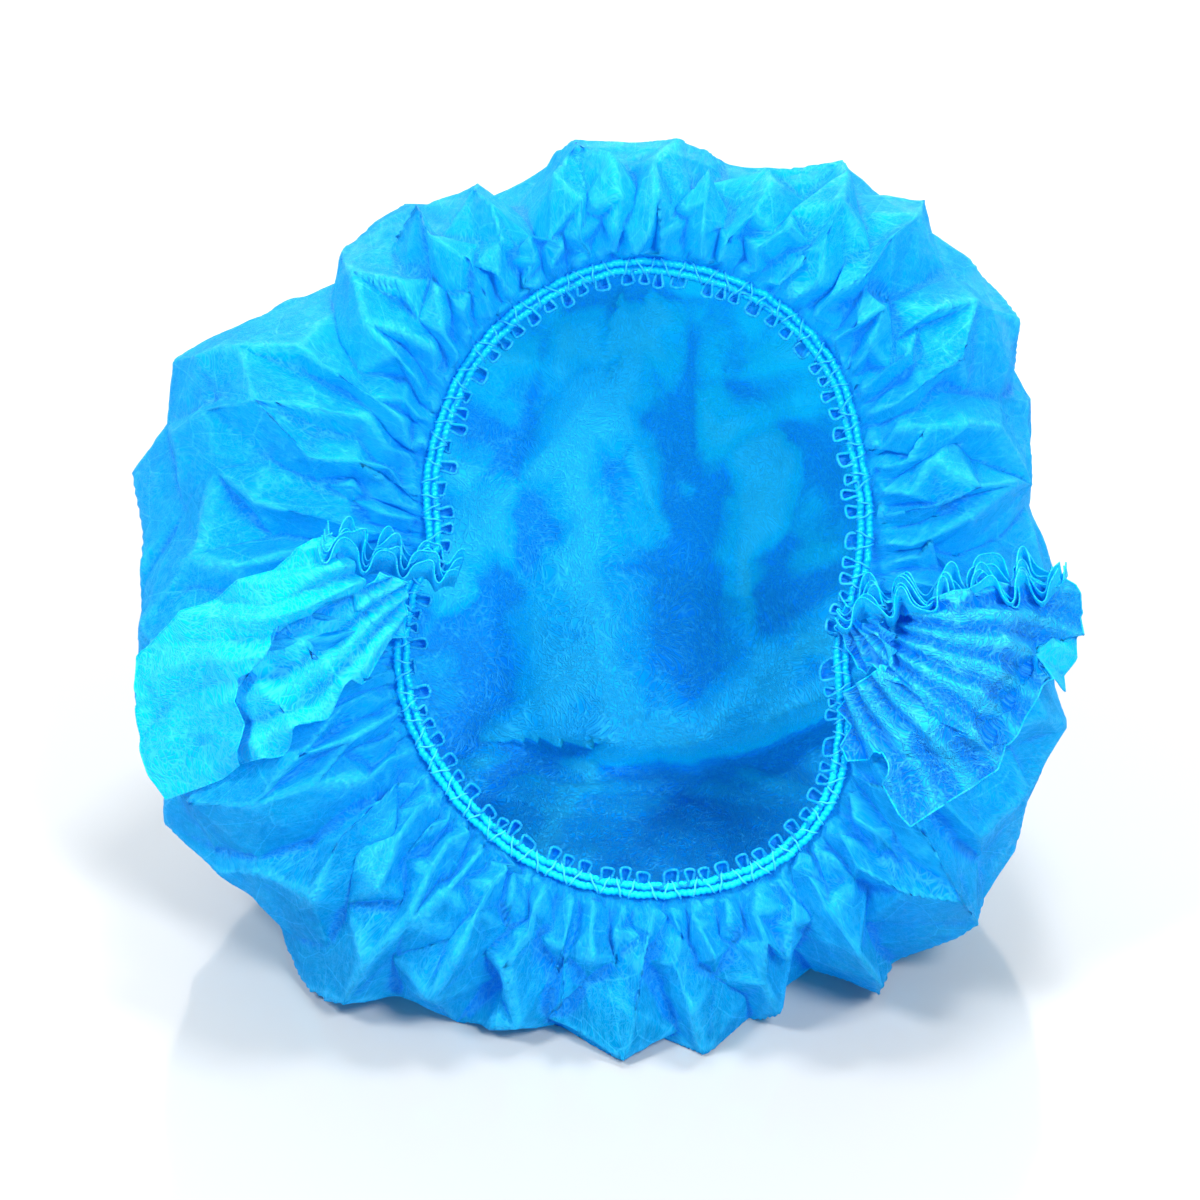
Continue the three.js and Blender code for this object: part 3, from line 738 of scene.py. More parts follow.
def fibreGroup(look):  # swirling fibres, their relief, cloudy density and distance from the cloth's middle
    group, given, out = newGroup("spun_fibres", [
        ("Fibre Length", look["length"]), ("Fibre Width", look["width"]), ("Swirl", look["swirl"])],
        ["Fibres", "Density", "Relief", "Reach"])
    place = flatPlace(group)
    swirlNoise = flatNoise(group, place, look["swirlScale"])
    swirl = vectorNode(group, "SUBTRACT", swirlNoise["Color"], (0.5, 0.5, 0.5))
    swirl = vectorNode(group, "SCALE", swirl.outputs[0], Scale=given.outputs["Swirl"])
    swirl = vectorNode(group, "MULTIPLY", swirl.outputs[0], look["swirlSpread"])
    swirled = vectorNode(group, "ADD", place, swirl.outputs[0])
    lengthwise = mathNode(group, "DIVIDE", 1.0, given.outputs["Fibre Length"])
    crosswise = mathNode(group, "DIVIDE", look["fineness"], given.outputs["Fibre Width"])
    stretch = addNode(group, "ShaderNodeCombineXYZ", {"X": lengthwise, "Y": crosswise, "Z": 1.0})
    lines = None
    for degrees, shift in look["directions"]:
        turned = addNode(group, "ShaderNodeMapping", {
            "Vector": swirled.outputs[0], "Rotation": (0, 0, math.radians(degrees)),
            "Location": (shift, shift, 0)})
        stretched = vectorNode(group, "MULTIPLY", turned.outputs[0], stretch.outputs[0])
        noise = flatNoise(group, stretched.outputs[0], 1.0)
        level = mathNode(group, "ABSOLUTE", mathNode(group, "SUBTRACT", noise["Fac"], 0.5))
        line = thinLine(group, level, look["sharpness"])
        lines = line if lines is None else mathNode(group, "MAXIMUM", lines, line)
    cloud = flatNoise(group, place, look["cloudScale"], 2.0)
    lineRelief, swirlRelief = look["relief"]
    relief = mathNode(group, "ADD", times(group, lines, lineRelief),
                      times(group, swirlNoise["Fac"], swirlRelief))
    reach = vectorNode(group, "LENGTH", place)
    for label, value in (("Fibres", lines), ("Density", mapped(group, cloud["Fac"], *look["cloudRange"])),
                         ("Relief", relief), ("Reach", reach.outputs["Value"])):
        group.links.new(value, out.inputs[label])
    return group


def veinGroup(look):  # fine pressed creases like veins, and a tone for each facet between them
    group, given, out = newGroup("pressed_veins", [("Spacing", look["spacing"]), ("Width", look["width"])],
                                 ["Veins", "Facet"])
    inputs = {"Vector": flatPlace(group), "Scale": mathNode(group, "DIVIDE", 1.0, given.outputs["Spacing"])}
    cell, tone = (addNode(group, "ShaderNodeTexVoronoi", inputs, feature=feature, voronoi_dimensions="2D")
                  for feature in ("DISTANCE_TO_EDGE", "F1"))
    away = times(group, cell.outputs["Distance"], given.outputs["Spacing"])
    group.links.new(thinLine(group, away, given.outputs["Width"]), out.inputs["Veins"])
    group.links.new(tone.outputs["Color"], out.inputs["Facet"])
    return group


fibres = fibreGroup(fibreLook)
veins = veinGroup(veinLook)

# linear colours: thin, dense and folded cloth, its fibres, a painted glow inside and painted shade and
# highlight on the folds, what passes through or glows, and the edges, painted brighter as a highlight; rays
# that the camera doesn't see meet a plain colour and after a few turns end in a painted glow, an emission
# standing in for light from further bounces
clothLook = {
    "thin": (0.0, 0.4, 1.0, 1), "dense": (0.0, 0.3, 0.97, 1), "fibre": (0.1, 0.7, 1.0, 1),
    "foldThin": (0.0, 0.28, 0.97, 1), "foldDense": (0.0, 0.2, 0.9, 1), "inner": (0.0, 0.74, 1.0, 1),
    "deep": (0.0, 0.17, 0.85, 1), "crest": (0.02, 0.6, 1.0, 1), "plain": (0.0, 0.62, 1.0, 1),
    "through": (0.01, 0.62, 1.0, 1), "glow": (0.0, 0.6, 1.0, 1), "sheen": (0.08, 0.8, 1.0, 1),
    "edgeThin": (0.08, 0.64, 1.0, 1), "edgeDense": (0.03, 0.52, 1.0, 1), "edgeGlow": (0.05, 0.62, 1.0, 1),
    "paintedBounceGlow": (0.0, 0.26, 0.5, 1), "layersSeen": 3, "turnsSeen": 2.5,
    "bumpDepth": 0.0012, "insideCalm": 0.68, "fibreGloss": 0.2, "insideDull": 0.22,
    "insideShift": 26.0, "closeRange": (126.0, 196.0), "closeShare": 0.62,
}
# fold marks, which place painted shade in the valleys and a painted highlight on the crests: rounds of
# smoothing and their shares, gain of the inside's lines, heights of valley and crest
foldShades = {
    "rounds": (4, 24, 80), "shares": (1, 0.45, 0.2), "insideLines": 2.2,
    "valley": (-0.15, -1.6), "crest": (0.25, 1.3),
}
# how far each mask tints the cloth and towards which colour, and how far each closes it; the inside tint is a
# painted glow, the valley tint painted shade, the crest tint a painted highlight
clothTints = (("inside", 0.75, "inner"), ("facet", 0.24, "deep"), ("valley", 0.62, "deep"),
              ("crest", 0.75, "crest"), ("fibres", 0.4, "fibre"), ("veins", 0.25, "fibre"))
clothCloses = (("density", 0.22), ("fibres", 0.15), ("veins", 0.3), ("facet", 0.14), ("valley", 0.45),
               ("crest", 0.3))


def markFolds(piece):  # how far each point stands over the cloth round it in millimetres, kept with the mesh
    mesh = piece.data
    points, normals = readAll(mesh.vertices, "co", 3) / mm, readAll(mesh.vertex_normals, "vector", 3)
    a, b = readAll(mesh.edges, "vertices", 2, np.int32).T
    count = len(points)
    degree = np.maximum(np.bincount(a, minlength=count) + np.bincount(b, minlength=count), 1)
    smooth = points.copy()
    heights = []
    for turn in range(1, foldShades["rounds"][-1] + 1):
        near = [np.bincount(a, smooth[b, axis], count) + np.bincount(b, smooth[a, axis], count)
                for axis in range(3)]
        smooth = np.stack(near, axis=1) / degree[:, None]
        if turn in foldShades["rounds"]:
            heights.append(np.sum((points - smooth) * normals, axis=1))
    broad = sum(share * each for share, each in zip(foldShades["shares"], heights))
    for label, values in (("foldHeight", broad), ("foldLine", heights[0])):
        mesh.attributes.new(label, "FLOAT", "POINT").data.foreach_set("value", values)


def clothMaterial(name, cover, tones, closed=0.75, glow=0.24, relief=0.75, roughness=0.34):
    material, tree = newTree(name)  # cover: share of light the cloth stops
    fibre = addNode(tree, "ShaderNodeGroup", node_tree=fibres).outputs
    vein = addNode(tree, "ShaderNodeGroup", node_tree=veins).outputs
    # painted highlight makes the crests of the folds paler and painted shade makes the valleys deeper, and
    # inside only the sharp lines are marked
    inside = addNode(tree, "ShaderNodeNewGeometry").outputs["Backfacing"]
    stands = times(tree, attribute(tree, "foldHeight"), mathNode(tree, "SUBTRACT", 1.0, inside))
    lines = times(tree, attribute(tree, "foldLine"), times(tree, inside, foldShades["insideLines"]))
    stands = mathNode(tree, "SUBTRACT", stands, lines)
    masks = {"inside": inside, "density": fibre["Density"], "fibres": fibre["Fibres"], "veins": vein["Veins"],
             "facet": vein["Facet"], "valley": mapped(tree, stands, *foldShades["valley"]),
             "crest": mapped(tree, stands, *foldShades["crest"])}
    colour = mixColours(tree, masks["density"], clothLook[tones[0]], clothLook[tones[1]])
    # the inside is painted lighter as a glow of light through the cloth, valleys darker as shade and crests
    # paler as a highlight
    for mask, amount, tint in clothTints:
        colour = mixColours(tree, times(tree, masks[mask], amount), colour, clothLook[tint])
    height = times(tree, fibre["Relief"], lessShare(tree, 1.0, inside, clothLook["insideCalm"]))
    bump = addNode(tree, "ShaderNodeBump", {
        "Height": height, "Strength": relief, "Distance": clothLook["bumpDepth"]})
    gloss = lessShare(tree, roughness + 0.1, masks["fibres"], clothLook["fibreGloss"])
    gloss = mathNode(tree, "ADD", gloss, times(tree, inside, clothLook["insideDull"]))
    # the cloth is closer near its middle and in its folds
    reach = mathNode(tree, "ADD", fibre["Reach"], times(tree, inside, clothLook["insideShift"]))
    closer = mapped(tree, reach, *clothLook["closeRange"], clothLook["closeShare"], 0.0)
    share = mathNode(tree, "ADD", closed, closer)
    for mask, amount in clothCloses:
        share = mathNode(tree, "ADD", share, times(tree, masks[mask], amount), clamp=True)
    face = addNode(tree, "ShaderNodeBsdfPrincipled", {
        "Base Color": colour, "Roughness": gloss, "Normal": bump.outputs[0], "Specular IOR Level": 0.32,
        "Specular Tint": clothLook["sheen"], "Alpha": share})
    # the light through the cloth is painted too: deeper in the valleys as shade, paler on the crests as a
    # highlight
    through = mixColours(tree, masks["valley"], clothLook[tones[2]], clothLook["deep"])
    through = mixColours(tree, masks["crest"], through, clothLook["crest"])
    lit = addNode(tree, "ShaderNodeBsdfTranslucent", {"Color": through})
    solid = mixShaders(tree, glow, face, lit)
    # rays the camera doesn't see meet a plain cloth with no gaps, and many layers in a row end in a solid one
    plainFace = addNode(tree, "ShaderNodeBsdfDiffuse", {"Color": clothLook["plain"]})
    plainLit = addNode(tree, "ShaderNodeBsdfTranslucent", {"Color": clothLook["glow"]})
    path = addNode(tree, "ShaderNodeLightPath").outputs
    # painted glow: after a few turns an emission stands in for the light that further bounces would bring
    paintedBounceGlow = addNode(tree, "ShaderNodeEmission", {"Color": clothLook["paintedBounceGlow"]})
    far = mathNode(tree, "GREATER_THAN", path["Ray Depth"], clothLook["turnsSeen"])
    plain = mixShaders(tree, far, mixShaders(tree, glow, plainFace, plainLit), paintedBounceGlow)
    seen = path["Is Camera Ray"]
    shown = mixShaders(tree, seen, plain, solid)
    clear = addNode(tree, "ShaderNodeBsdfTransparent", {"Color": clothLook["through"]})
    deep = mathNode(tree, "GREATER_THAN", path["Transparent Depth"], clothLook["layersSeen"])
    stopped = mathNode(tree, "MAXIMUM", deep, lessShare(tree, 1.0, seen, 1 - cover))
    whole = mixShaders(tree, stopped, clear, shown)
    addNode(tree, "ShaderNodeOutputMaterial", {"Surface": whole.outputs[0]})
    return material


# spun yarn; it lies deeper between the pleats towards the top, so painted shade makes it darker there, from
# and to a height
yarnLook = {
    "strandScale": 1500.0, "strandRelief": 0.4, "strandDepth": 0.0002, "brighter": 1.4,
    "shadeFrom": 0.03, "shadeTo": 0.12, "shadeShare": 0.65, "shade": (0.0, 0.24, 0.84, 1),
}


def cordMaterial(name, colour, roughness):  # spun yarn: fine strands and a soft shine
    material, tree = newTree(name)
    place = addNode(tree, "ShaderNodeTexCoord").outputs["Object"]
    strands = addNode(tree, "ShaderNodeTexNoise", {
        "Vector": place, "Scale": yarnLook["strandScale"], "Detail": 2.0}).outputs["Fac"]
    bright = tuple(min(1.0, 0.01 + yarnLook["brighter"] * c) for c in colour[:3]) + (1,)
    # painted shade: the yarn is darker towards the top
    high = addNode(tree, "ShaderNodeSeparateXYZ", {0: place}).outputs["Z"]
    shaded = mapped(tree, high, yarnLook["shadeFrom"], yarnLook["shadeTo"], 0.0, yarnLook["shadeShare"])
    tint = mixColours(tree, shaded, mixColours(tree, strands, colour, bright), yarnLook["shade"])
    bump = addNode(tree, "ShaderNodeBump", {
        "Height": strands, "Strength": yarnLook["strandRelief"], "Distance": yarnLook["strandDepth"]})
    face = addNode(tree, "ShaderNodeBsdfPrincipled", {
        "Base Color": tint, "Roughness": roughness, "Normal": bump.outputs[0], "Specular IOR Level": 0.8,
        "Specular Tint": clothLook["sheen"]})
    addNode(tree, "ShaderNodeOutputMaterial", {"Surface": face.outputs[0]})
    return material


thinCloth = clothMaterial("thin_cloth", 0.84, ("thin", "dense", "glow"), closed=0.34, glow=0.36)
foldedCloth = clothMaterial("folded_cloth", 0.95, ("foldThin", "foldDense", "glow"))
# the rolled edges are painted lighter than the cloth, as a highlight along them
edgeCloth = clothMaterial("rolled_edge", 0.97, ("edgeThin", "edgeDense", "edgeGlow"), glow=0.4, relief=0.1)
elasticYarn = cordMaterial("elastic_yarn", (0.0, 0.46, 0.98, 1), 0.24)
sewingYarn = cordMaterial("sewing_yarn", (0.04, 0.48, 0.98, 1), 0.3)


def finished(piece, material, slot, *nodes, extra=()):
    if slot == "cloth":
        markFolds(piece)
    print(piece.name, "triangles:", sum(len(p.vertices) - 2 for p in piece.data.polygons))
    piece.data.materials.clear()
    for each in (material, *extra):
        piece.data.materials.append(each)
    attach(piece, "root")
    if nodes:
        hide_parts(*nodes)
    return piece


# tubes along lines, for cords, threads and rolled edges
def tubeMesh(path, radius, sides, closed, facing=forward):  # radius may vary along the path and round it
    path = np.asarray(path, dtype=float)
    count = len(path)
    if closed:
        tangent = np.roll(path, -1, axis=0) - np.roll(path, 1, axis=0)
    else:
        tangent = np.gradient(path, axis=0)
    tangent = unit(tangent)
    side = unit(np.cross(tangent, facing))
    top = np.cross(side, tangent)
    turn = np.arange(sides) * 2 * math.pi / sides
    radius = np.broadcast_to(radius, (count, sides))[..., None]
    ring = np.cos(turn)[None, :, None] * side[:, None] + np.sin(turn)[None, :, None] * top[:, None]
    points = (path[:, None] + ring * radius).reshape(-1, 3)
    rows = np.arange(count if closed else count - 1)[:, None]
    here, there = rows * sides, (rows + 1) % count * sides
    step = np.arange(sides)[None]
    after = (step + 1) % sides
    faces = np.stack([here + step, here + after, there + after, there + step], axis=-1)
    faces = faces.reshape(-1, 4).tolist()
    if not closed:
        faces += [list(range(sides))[::-1], [(count - 1) * sides + i for i in range(sides)]]
    return points, faces


def joinedParts(parts):  # several lists of points and faces as one
    points, faces, start = [], [], 0
    for partPoints, partFaces in parts:
        points.append(partPoints)
        faces += [[i + start for i in face] for face in partFaces]
        start += len(partPoints)
    return np.concatenate(points), faces


fineAngles = np.linspace(0, 360, 3601)
fineX, fineUp = openingLine(fineAngles)
fineLength = np.concatenate([[0], np.cumsum(np.hypot(np.diff(fineX), np.diff(fineUp)))])
elasticLength = fineLength[-1]


def alongElastic(share, out, height, aside=0.0):  # place beside the opening's line: out, forward, aside of it
    share = np.mod(np.asarray(share, dtype=float), 1)
    angle = np.interp(share * elasticLength, fineLength, fineAngles)
    (x, up), (x0, up0), (x1, up1) = (openingLine(angle + d) for d in (0, -0.5, 0.5))
    dx, dup = x1 - x0, up1 - up0
    size = np.hypot(dx, dup)
    dx, dup = dx / size, dup / size
    return placed(x + dup * out + dx * aside, up - dx * out + dup * aside, height)


# the loose hem inside the elastic stands up in loops that are seen edge-on
hemLook = {
    "loops": 84, "perLoop": 22, "rows": 7, "start": 0.9, "depth": 4.2, "back": -1.6, "front": 2.2,
    "bulge": 0.14, "ridges": 4, "ridgeDepth": 0.25, "rimRadius": 0.42, "rimSides": 4, "seed": 21,
    "uneven": 0.25, "sizeSpread": 0.2, "openedBy": 0.34, "tilt": 0.7, "sway": 0.5,
    "gather": 2.4, "rowStep": 0.8,
}


def hemLoops(look):
    rng = np.random.default_rng(look["seed"])
    columns = look["loops"] * look["perLoop"]
    u = np.arange(columns) / columns
    phase = 2 * math.pi * (look["loops"] * u + look["uneven"] * waveNoise(rng, 5, 9, 31)(u))
    size = 1 + look["sizeSpread"] * waveNoise(rng, 6, 7, 40)(u)
    tilt = waveNoise(rng, 5, 5, 26)(u)
    pitch = elasticLength / look["loops"]
    rows = []
    for row in range(look["rows"]):
        v = row / (look["rows"] - 1)
        opened = float(smoothStep(v / look["openedBy"]))
        swell = 0.5 - 0.5 * np.cos(phase)
        loop = smoothStep(swell * 1.2 - 0.1) * 0.35 + 0.65 * swell
        out = -look["start"] - look["depth"] * size * opened * (loop * (0.85 + 0.15 * v))
        aside = opened * (look["bulge"] * pitch * np.sin(2 * phase) + look["tilt"] * tilt * v)
        ridge = look["ridgeDepth"] * np.sin(phase * look["ridges"]) * (1 - v)
        height = look["back"] + (look["front"] - look["back"]) * v ** 0.8
        height = height + look["tilt"] * tilt * v + look["sway"] * np.sin(phase) * v
        rows.append(alongElastic(u, out, height + ridge, aside))
    points = np.concatenate(rows)
    faces = []
    for row in range(look["rows"] - 1):
        for i in range(columns):
            j = (i + 1) % columns
            low, high = row * columns, (row + 1) * columns
            faces.append((low + i, low + j, high + j, high + i))
    flat = np.stack([np.tile(u * elasticLength * look["gather"], look["rows"]),
                     np.repeat(np.arange(look["rows"]) * look["rowStep"], columns)], axis=1)
    sheet = points, faces
    rim = tubeMesh(rows[-1], look["rimRadius"], look["rimSides"], True)
    points, faces = joinedParts([sheet, rim])
    flat = np.concatenate([flat, np.repeat(flat[-columns:], look["rimSides"], axis=0)])
    slots = [1] * len(sheet[1]) + [2] * len(rim[1])
    return points, faces, flat, slots


# two elastic cords of twisted yarn, side by side
cordLook = {"twists": 300, "steps": 2100, "sides": 7, "beadDepth": 0.2, "beadSwell": 1.6, "wander": 0.3}


def makeCord(name, side, seed):
    rng = np.random.default_rng(seed)
    u = np.arange(cordLook["steps"]) / cordLook["steps"]
    wander = cordLook["wander"] * waveNoise(rng, 6, 20, 90)(u)
    out = side * (capShape["cordDiameter"] + capShape["seatGap"]) / 2 + wander * 0.5
    path = alongElastic(u, out, cordLift + wander)
    turn = np.arange(cordLook["sides"]) * 2 * math.pi / cordLook["sides"]
    bead = np.abs(np.sin(math.pi * cordLook["twists"] * u[:, None] + turn[None] / 2))
    depth = cordLook["beadDepth"]
    radius = capShape["cordDiameter"] / 2 * (1 - depth + depth * cordLook["beadSwell"] * bead)
    points, faces = tubeMesh(path, radius, cordLook["sides"], True)
    return meshPiece(name, points, faces)


# stitches that slant over both cords
threadLook = {
    "stitches": 120, "radius": 0.24, "points": 11, "sides": 6, "slant": 1.5, "spread": 0.5, "seed": 5,
    "unevenStep": 0.25, "unevenSlant": 0.35, "returnSlant": -0.6, "square": 3.2, "foot": 0.2, "bend": 0.15,
}


def makeThread(look):
    rng = np.random.default_rng(look["seed"])
    parts = []
    for k in range(look["stitches"]):
        share = (k + about(rng, look["unevenStep"])) / look["stitches"]
        slant = look["slant"] * (1 + about(rng, look["unevenSlant"])) * (1 if k % 2 else look["returnSlant"])
        t = np.linspace(-1, 1, look["points"])
        over = np.sqrt(np.clip(1 - np.abs(t) ** look["square"], 0, 1))
        height = look["foot"] + (cordLift + capShape["cordDiameter"] / 2 + 0.1) * over
        aside = slant * t + look["bend"] * np.sin(t * 5 + k)
        out = t * (bandWidth / 2 + look["spread"])
        path = alongElastic(np.full(look["points"], share), out, height, aside)
        parts.append(tubeMesh(path, look["radius"], look["sides"], False))
    points, faces = joinedParts(parts)
    return meshPiece("sewing_thread", points, faces)


# the ears: bunched ends of the pleats, as panels between folds
def rimHeight(x, up):  # front of the puffed rim at a place on the opening's plane
    angle = np.degrees(np.arctan2(up, x))
    radius = np.minimum(np.hypot(x, up), capShape["earReach"] * atAngle(2, angle) * meanCap)
    outer, inner = np.ones_like(radius), np.full_like(radius, 2.0)
    for _ in range(24):
        middle = (outer + inner) / 2
        wide = sectionPoint(angle, middle)[0] > radius
        outer, inner = np.where(wide, middle, outer), np.where(wide, inner, middle)
    return sectionPoint(angle, outer)[1]


def atPixel(px, py, lift):  # place in front of the rim that shows at that pixel
    px, py, lift = (np.asarray(v, dtype=float) for v in (px, py, lift))
    height = lift + 10.0
    for _ in range(3):
        near = 1 - height / view["distance"]
        x = ((px - view["middle"]) * near + view["middle"] - view["openingX"]) * view["perPixel"]
        up = ((view["middle"] - py) * near + view["openingY"] - view["middle"]) * view["perPixel"]
        height = rimHeight(x, up) + lift
    return placed(x, up, height), np.stack([x, up], axis=-1)


# pixel x, pixel y and lift in millimetres off the rim of each corner of the left ear
leftCorners = {
    "tip": (134, 656, -2), "crestA": (189, 612, 3), "crestB": (230, 587, 6), "crestC": (269, 568, 8),
    "crestD": (291, 556, 9), "crestE": (313, 538, 10), "crestF": (334, 531, 10),
    "bandA": (152, 690, 3), "bandB": (215, 642, 10), "bandC": (262, 612, 13), "bandD": (308, 582, 14),
    "bandE": (340, 562, 13),
    "lowA": (237, 692, 9), "lowB": (251, 672, 9), "lowC": (262, 656, 9.5), "lowD": (286, 631, 10),
    "lowE": (313, 618, 10), "lowF": (331, 600, 11), "lowG": (350, 592, 11),
    "tuckA": (232, 686, 3), "tuckB": (246, 662, 5), "tuckC": (257, 648, 3), "tuckD": (281, 622, 5),
    "tuckE": (307, 609, 3), "tuckF": (345, 594, 6),
    "pleatA": (404, 637, 6), "pleatB": (390, 638, 12), "pleatC": (365, 683, 4), "pleatD": (347, 683, 12),
    "pleatE": (328, 718, 4), "pleatF": (295, 727, 12), "pleatG": (284, 757, 4), "pleatH": (262, 758, 8),
    "pleatI": (243, 763, 2),
    "cheekA": (136, 700, -1), "cheekB": (136, 748, -2), "cheekC": (165, 800, -2), "cheekD": (222, 779, 4),
    "cheekE": (240, 765, 8), "cheekF": (240, 741, 11), "cheekM": (190, 735, 9),
    "foldA": (363, 588, 8), "foldB": (379, 571, 13), "foldC": (405, 582, 12), "foldD": (407, 619, 9),
}
leftPanels = [
    "tip crestA bandB bandA", "crestA crestB bandC bandB", "crestB crestC bandC", "crestC crestD bandD bandC",
    "crestD crestE bandE bandD", "crestE crestF bandE", "bandA bandB lowA cheekM",
    "bandB bandC lowC lowB lowA",
    "bandC bandD lowD lowC", "bandD bandE lowF lowE lowD", "bandE crestF foldA lowG lowF",
    "lowA lowB tuckB tuckA", "lowB lowC tuckC tuckB", "lowC lowD tuckD tuckC", "lowD lowE tuckE tuckD",
    "lowE lowF lowG tuckF tuckE", "tuckF pleatB pleatC tuckE", "tuckE pleatC pleatD tuckD",
    "tuckD pleatD pleatE tuckC", "tuckC pleatE pleatF tuckB", "tuckB pleatF pleatG pleatH tuckA",
    "tuckA pleatH pleatI", "foldA foldB foldC foldD pleatA pleatB", "lowG foldA pleatB tuckF",
    "bandA cheekM cheekB cheekA tip", "cheekM lowA cheekF", "cheekM cheekF cheekE cheekD",
    "cheekM cheekD cheekC cheekB",
]

# the same for the right ear
rightCorners = {
    "hemA": (835, 628, 6), "hemB": (846, 605, 10), "hemC": (863, 624, 6), "hemD": (887, 599, 12),
    "hemE": (915, 610, 8), "kiteTop": (954, 590, 17), "hemF": (974, 597, 9), "hemG": (981, 571, 13),
    "hemH": (1009, 590, 7), "hemI": (1017, 567, 11), "hemJ": (1047, 589, 6), "hemK": (1053, 569, 9),
    "rimA": (1073, 585, 4), "rimB": (1084, 613, 1), "rimC": (1081, 636, 0), "rimD": (1061, 690, -1),
    "kiteShoulder": (1005, 624, 15), "kiteRight": (1024, 655, 12), "kiteFoot": (977, 739, 14),
    "kiteRidge": (1002, 664, 16), "kiteLeft": (940, 628, 13), "kiteHip": (912, 650, 9),
    "kiteTuck": (894, 672, 6), "kiteLow": (916, 692, 12), "pocket": (897, 625, -3),
    "fingerA": (1036, 648, 10), "fingerB": (1047, 680, 11), "fingerC": (1012, 746, 12),
    "fingerD": (989, 752, 10), "valleyA": (1028, 668, 6), "valleyB": (990, 735, 7),
    "pouchA": (879, 669, 13), "pouchB": (846, 693, 7), "pouchC": (839, 710, 4), "pouchD": (850, 726, 8),
    "pouchE": (845, 747, 4), "pouchF": (851, 762, 7), "pouchG": (883, 754, 9), "pouchH": (928, 716, 13),
    "boxA": (845, 641, 7), "boxB": (875, 632, 12), "boxC": (894, 664, 9), "boxD": (861, 671, 5),
    "boxE": (853, 655, 3),
    "apronA": (887, 768, 11), "apronB": (883, 785, 8), "apronC": (898, 814, 7), "apronD": (911, 826, 7),
    "apronE": (996, 771, 8),
}
rightPanels = [
    "kiteTop kiteLeft kiteLow kiteFoot", "kiteTop kiteFoot kiteRidge kiteShoulder",
    "kiteShoulder kiteRidge kiteFoot kiteRight", "kiteLeft kiteHip kiteTuck kiteLow",
    "kiteTop hemE kiteHip kiteLeft", "hemE hemD pocket", "hemE pocket kiteHip", "pocket kiteTuck kiteHip",
    "hemD boxB boxC pocket", "pocket boxC kiteTuck", "hemD hemC boxB", "hemC hemB hemA boxA boxB",
    "boxA boxE boxC boxB", "boxE boxD boxC", "boxD pouchA boxC", "boxC pouchA kiteTuck",
    "kiteTuck pouchA kiteLow", "pouchA pouchB pouchC pouchD pouchH kiteLow",
    "pouchD pouchE pouchF pouchG pouchH", "pouchH pouchG kiteFoot", "kiteLow pouchH kiteFoot",
    "pouchG apronA apronE fingerC fingerD kiteFoot", "apronA apronB apronC apronD apronE",
    "kiteTop kiteShoulder hemF", "hemF kiteShoulder hemH hemG", "hemH kiteShoulder kiteRight hemJ hemI",
    "hemJ kiteRight fingerA rimC rimB rimA hemK", "fingerA rimC rimD fingerB",
    "kiteRight valleyA fingerA", "kiteRight kiteFoot valleyB valleyA",
    "fingerA valleyA valleyB fingerD fingerC fingerB", "valleyB kiteFoot fingerD",
]

# bunched hems, in pixels and millimetres: both ends, waves and their swing, lift off the rim, layers and the
# step between them, where and how far the cloth runs down, and the middle of the ear's fan of pleats
leftRuffle = {
    "from": (318, 546), "to": (458, 574), "waves": 3.6, "swing": (15, 8), "lift": (15, 7), "layers": 4,
    "apart": (2, -5), "down": (-4, 15), "depth": 8, "seed": 3, "fan": (475, 556),
}
rightRuffle = {
    "from": (836, 614), "to": (1062, 580), "waves": 5.7, "swing": (12, 17), "lift": (13, 16), "layers": 5,
    "apart": (1, -5), "down": (2, 15), "depth": 9, "seed": 11, "fan": (828, 596),
}
earLook = {
    "finer": 4, "fold": 0.7, "creaseSpacing": (13, 5), "creaseDepths": (1.5, 0.4), "creaseSnap": 0.3,
    "rimRadius": 0.26, "rimSides": 5, "ruffleColumns": 220, "ruffleRows": 10,
    "fanFolds": 38, "fanDepth": 1.5, "fanBend": 0.35, "uneven": 0.9, "wander": 0.6, "shift": 0.4,
    "swingSpread": 0.3, "layerDrop": 2.2, "sway": 0.8, "gather": 0.5, "rowStep": 1.2,
}


def boundaryLines(mesh):  # the open edges of a mesh as closed lines of its points
    ends = {}
    counts = {}
    for polygon in mesh.polygons:
        for key in polygon.edge_keys:
            counts[key] = counts.get(key, 0) + 1
    for (a, b), n in counts.items():
        if n == 1:
            ends.setdefault(a, []).append(b)
            ends.setdefault(b, []).append(a)
    lines, seen = [], set()
    for start in sorted(ends):
        if start in seen:
            continue
        line, here = [start], start
        seen.add(start)
        while True:
            onward = [n for n in ends[here] if n not in seen]
            if not onward:
                break
            here = onward[0]
            seen.add(here)
            line.append(here)
        if len(line) > 4:
            lines.append(line)
    return lines


def withRolledEdges(name, sheets, look):  # one piece of sheets and thin edges round them, painted brighter as a highlight
    parts, flats, slots = [], [], []
    for points, faces, flat, lines in sheets:
        parts.append((points, faces))
        flats.append(flat)
        slots += [0] * len(faces)
        for line, closed in lines:
            tube = tubeMesh(points[line], look["rimRadius"], look["rimSides"], closed)
            parts.append(tube)
            flats.append(np.repeat(flat[line], look["rimSides"], axis=0))
            slots += [1] * len(tube[1])
    points, faces = joinedParts(parts)
    piece = meshPiece(name, points, faces, np.concatenate(flats))
    piece.data.polygons.foreach_set("material_index", slots)
    return piece


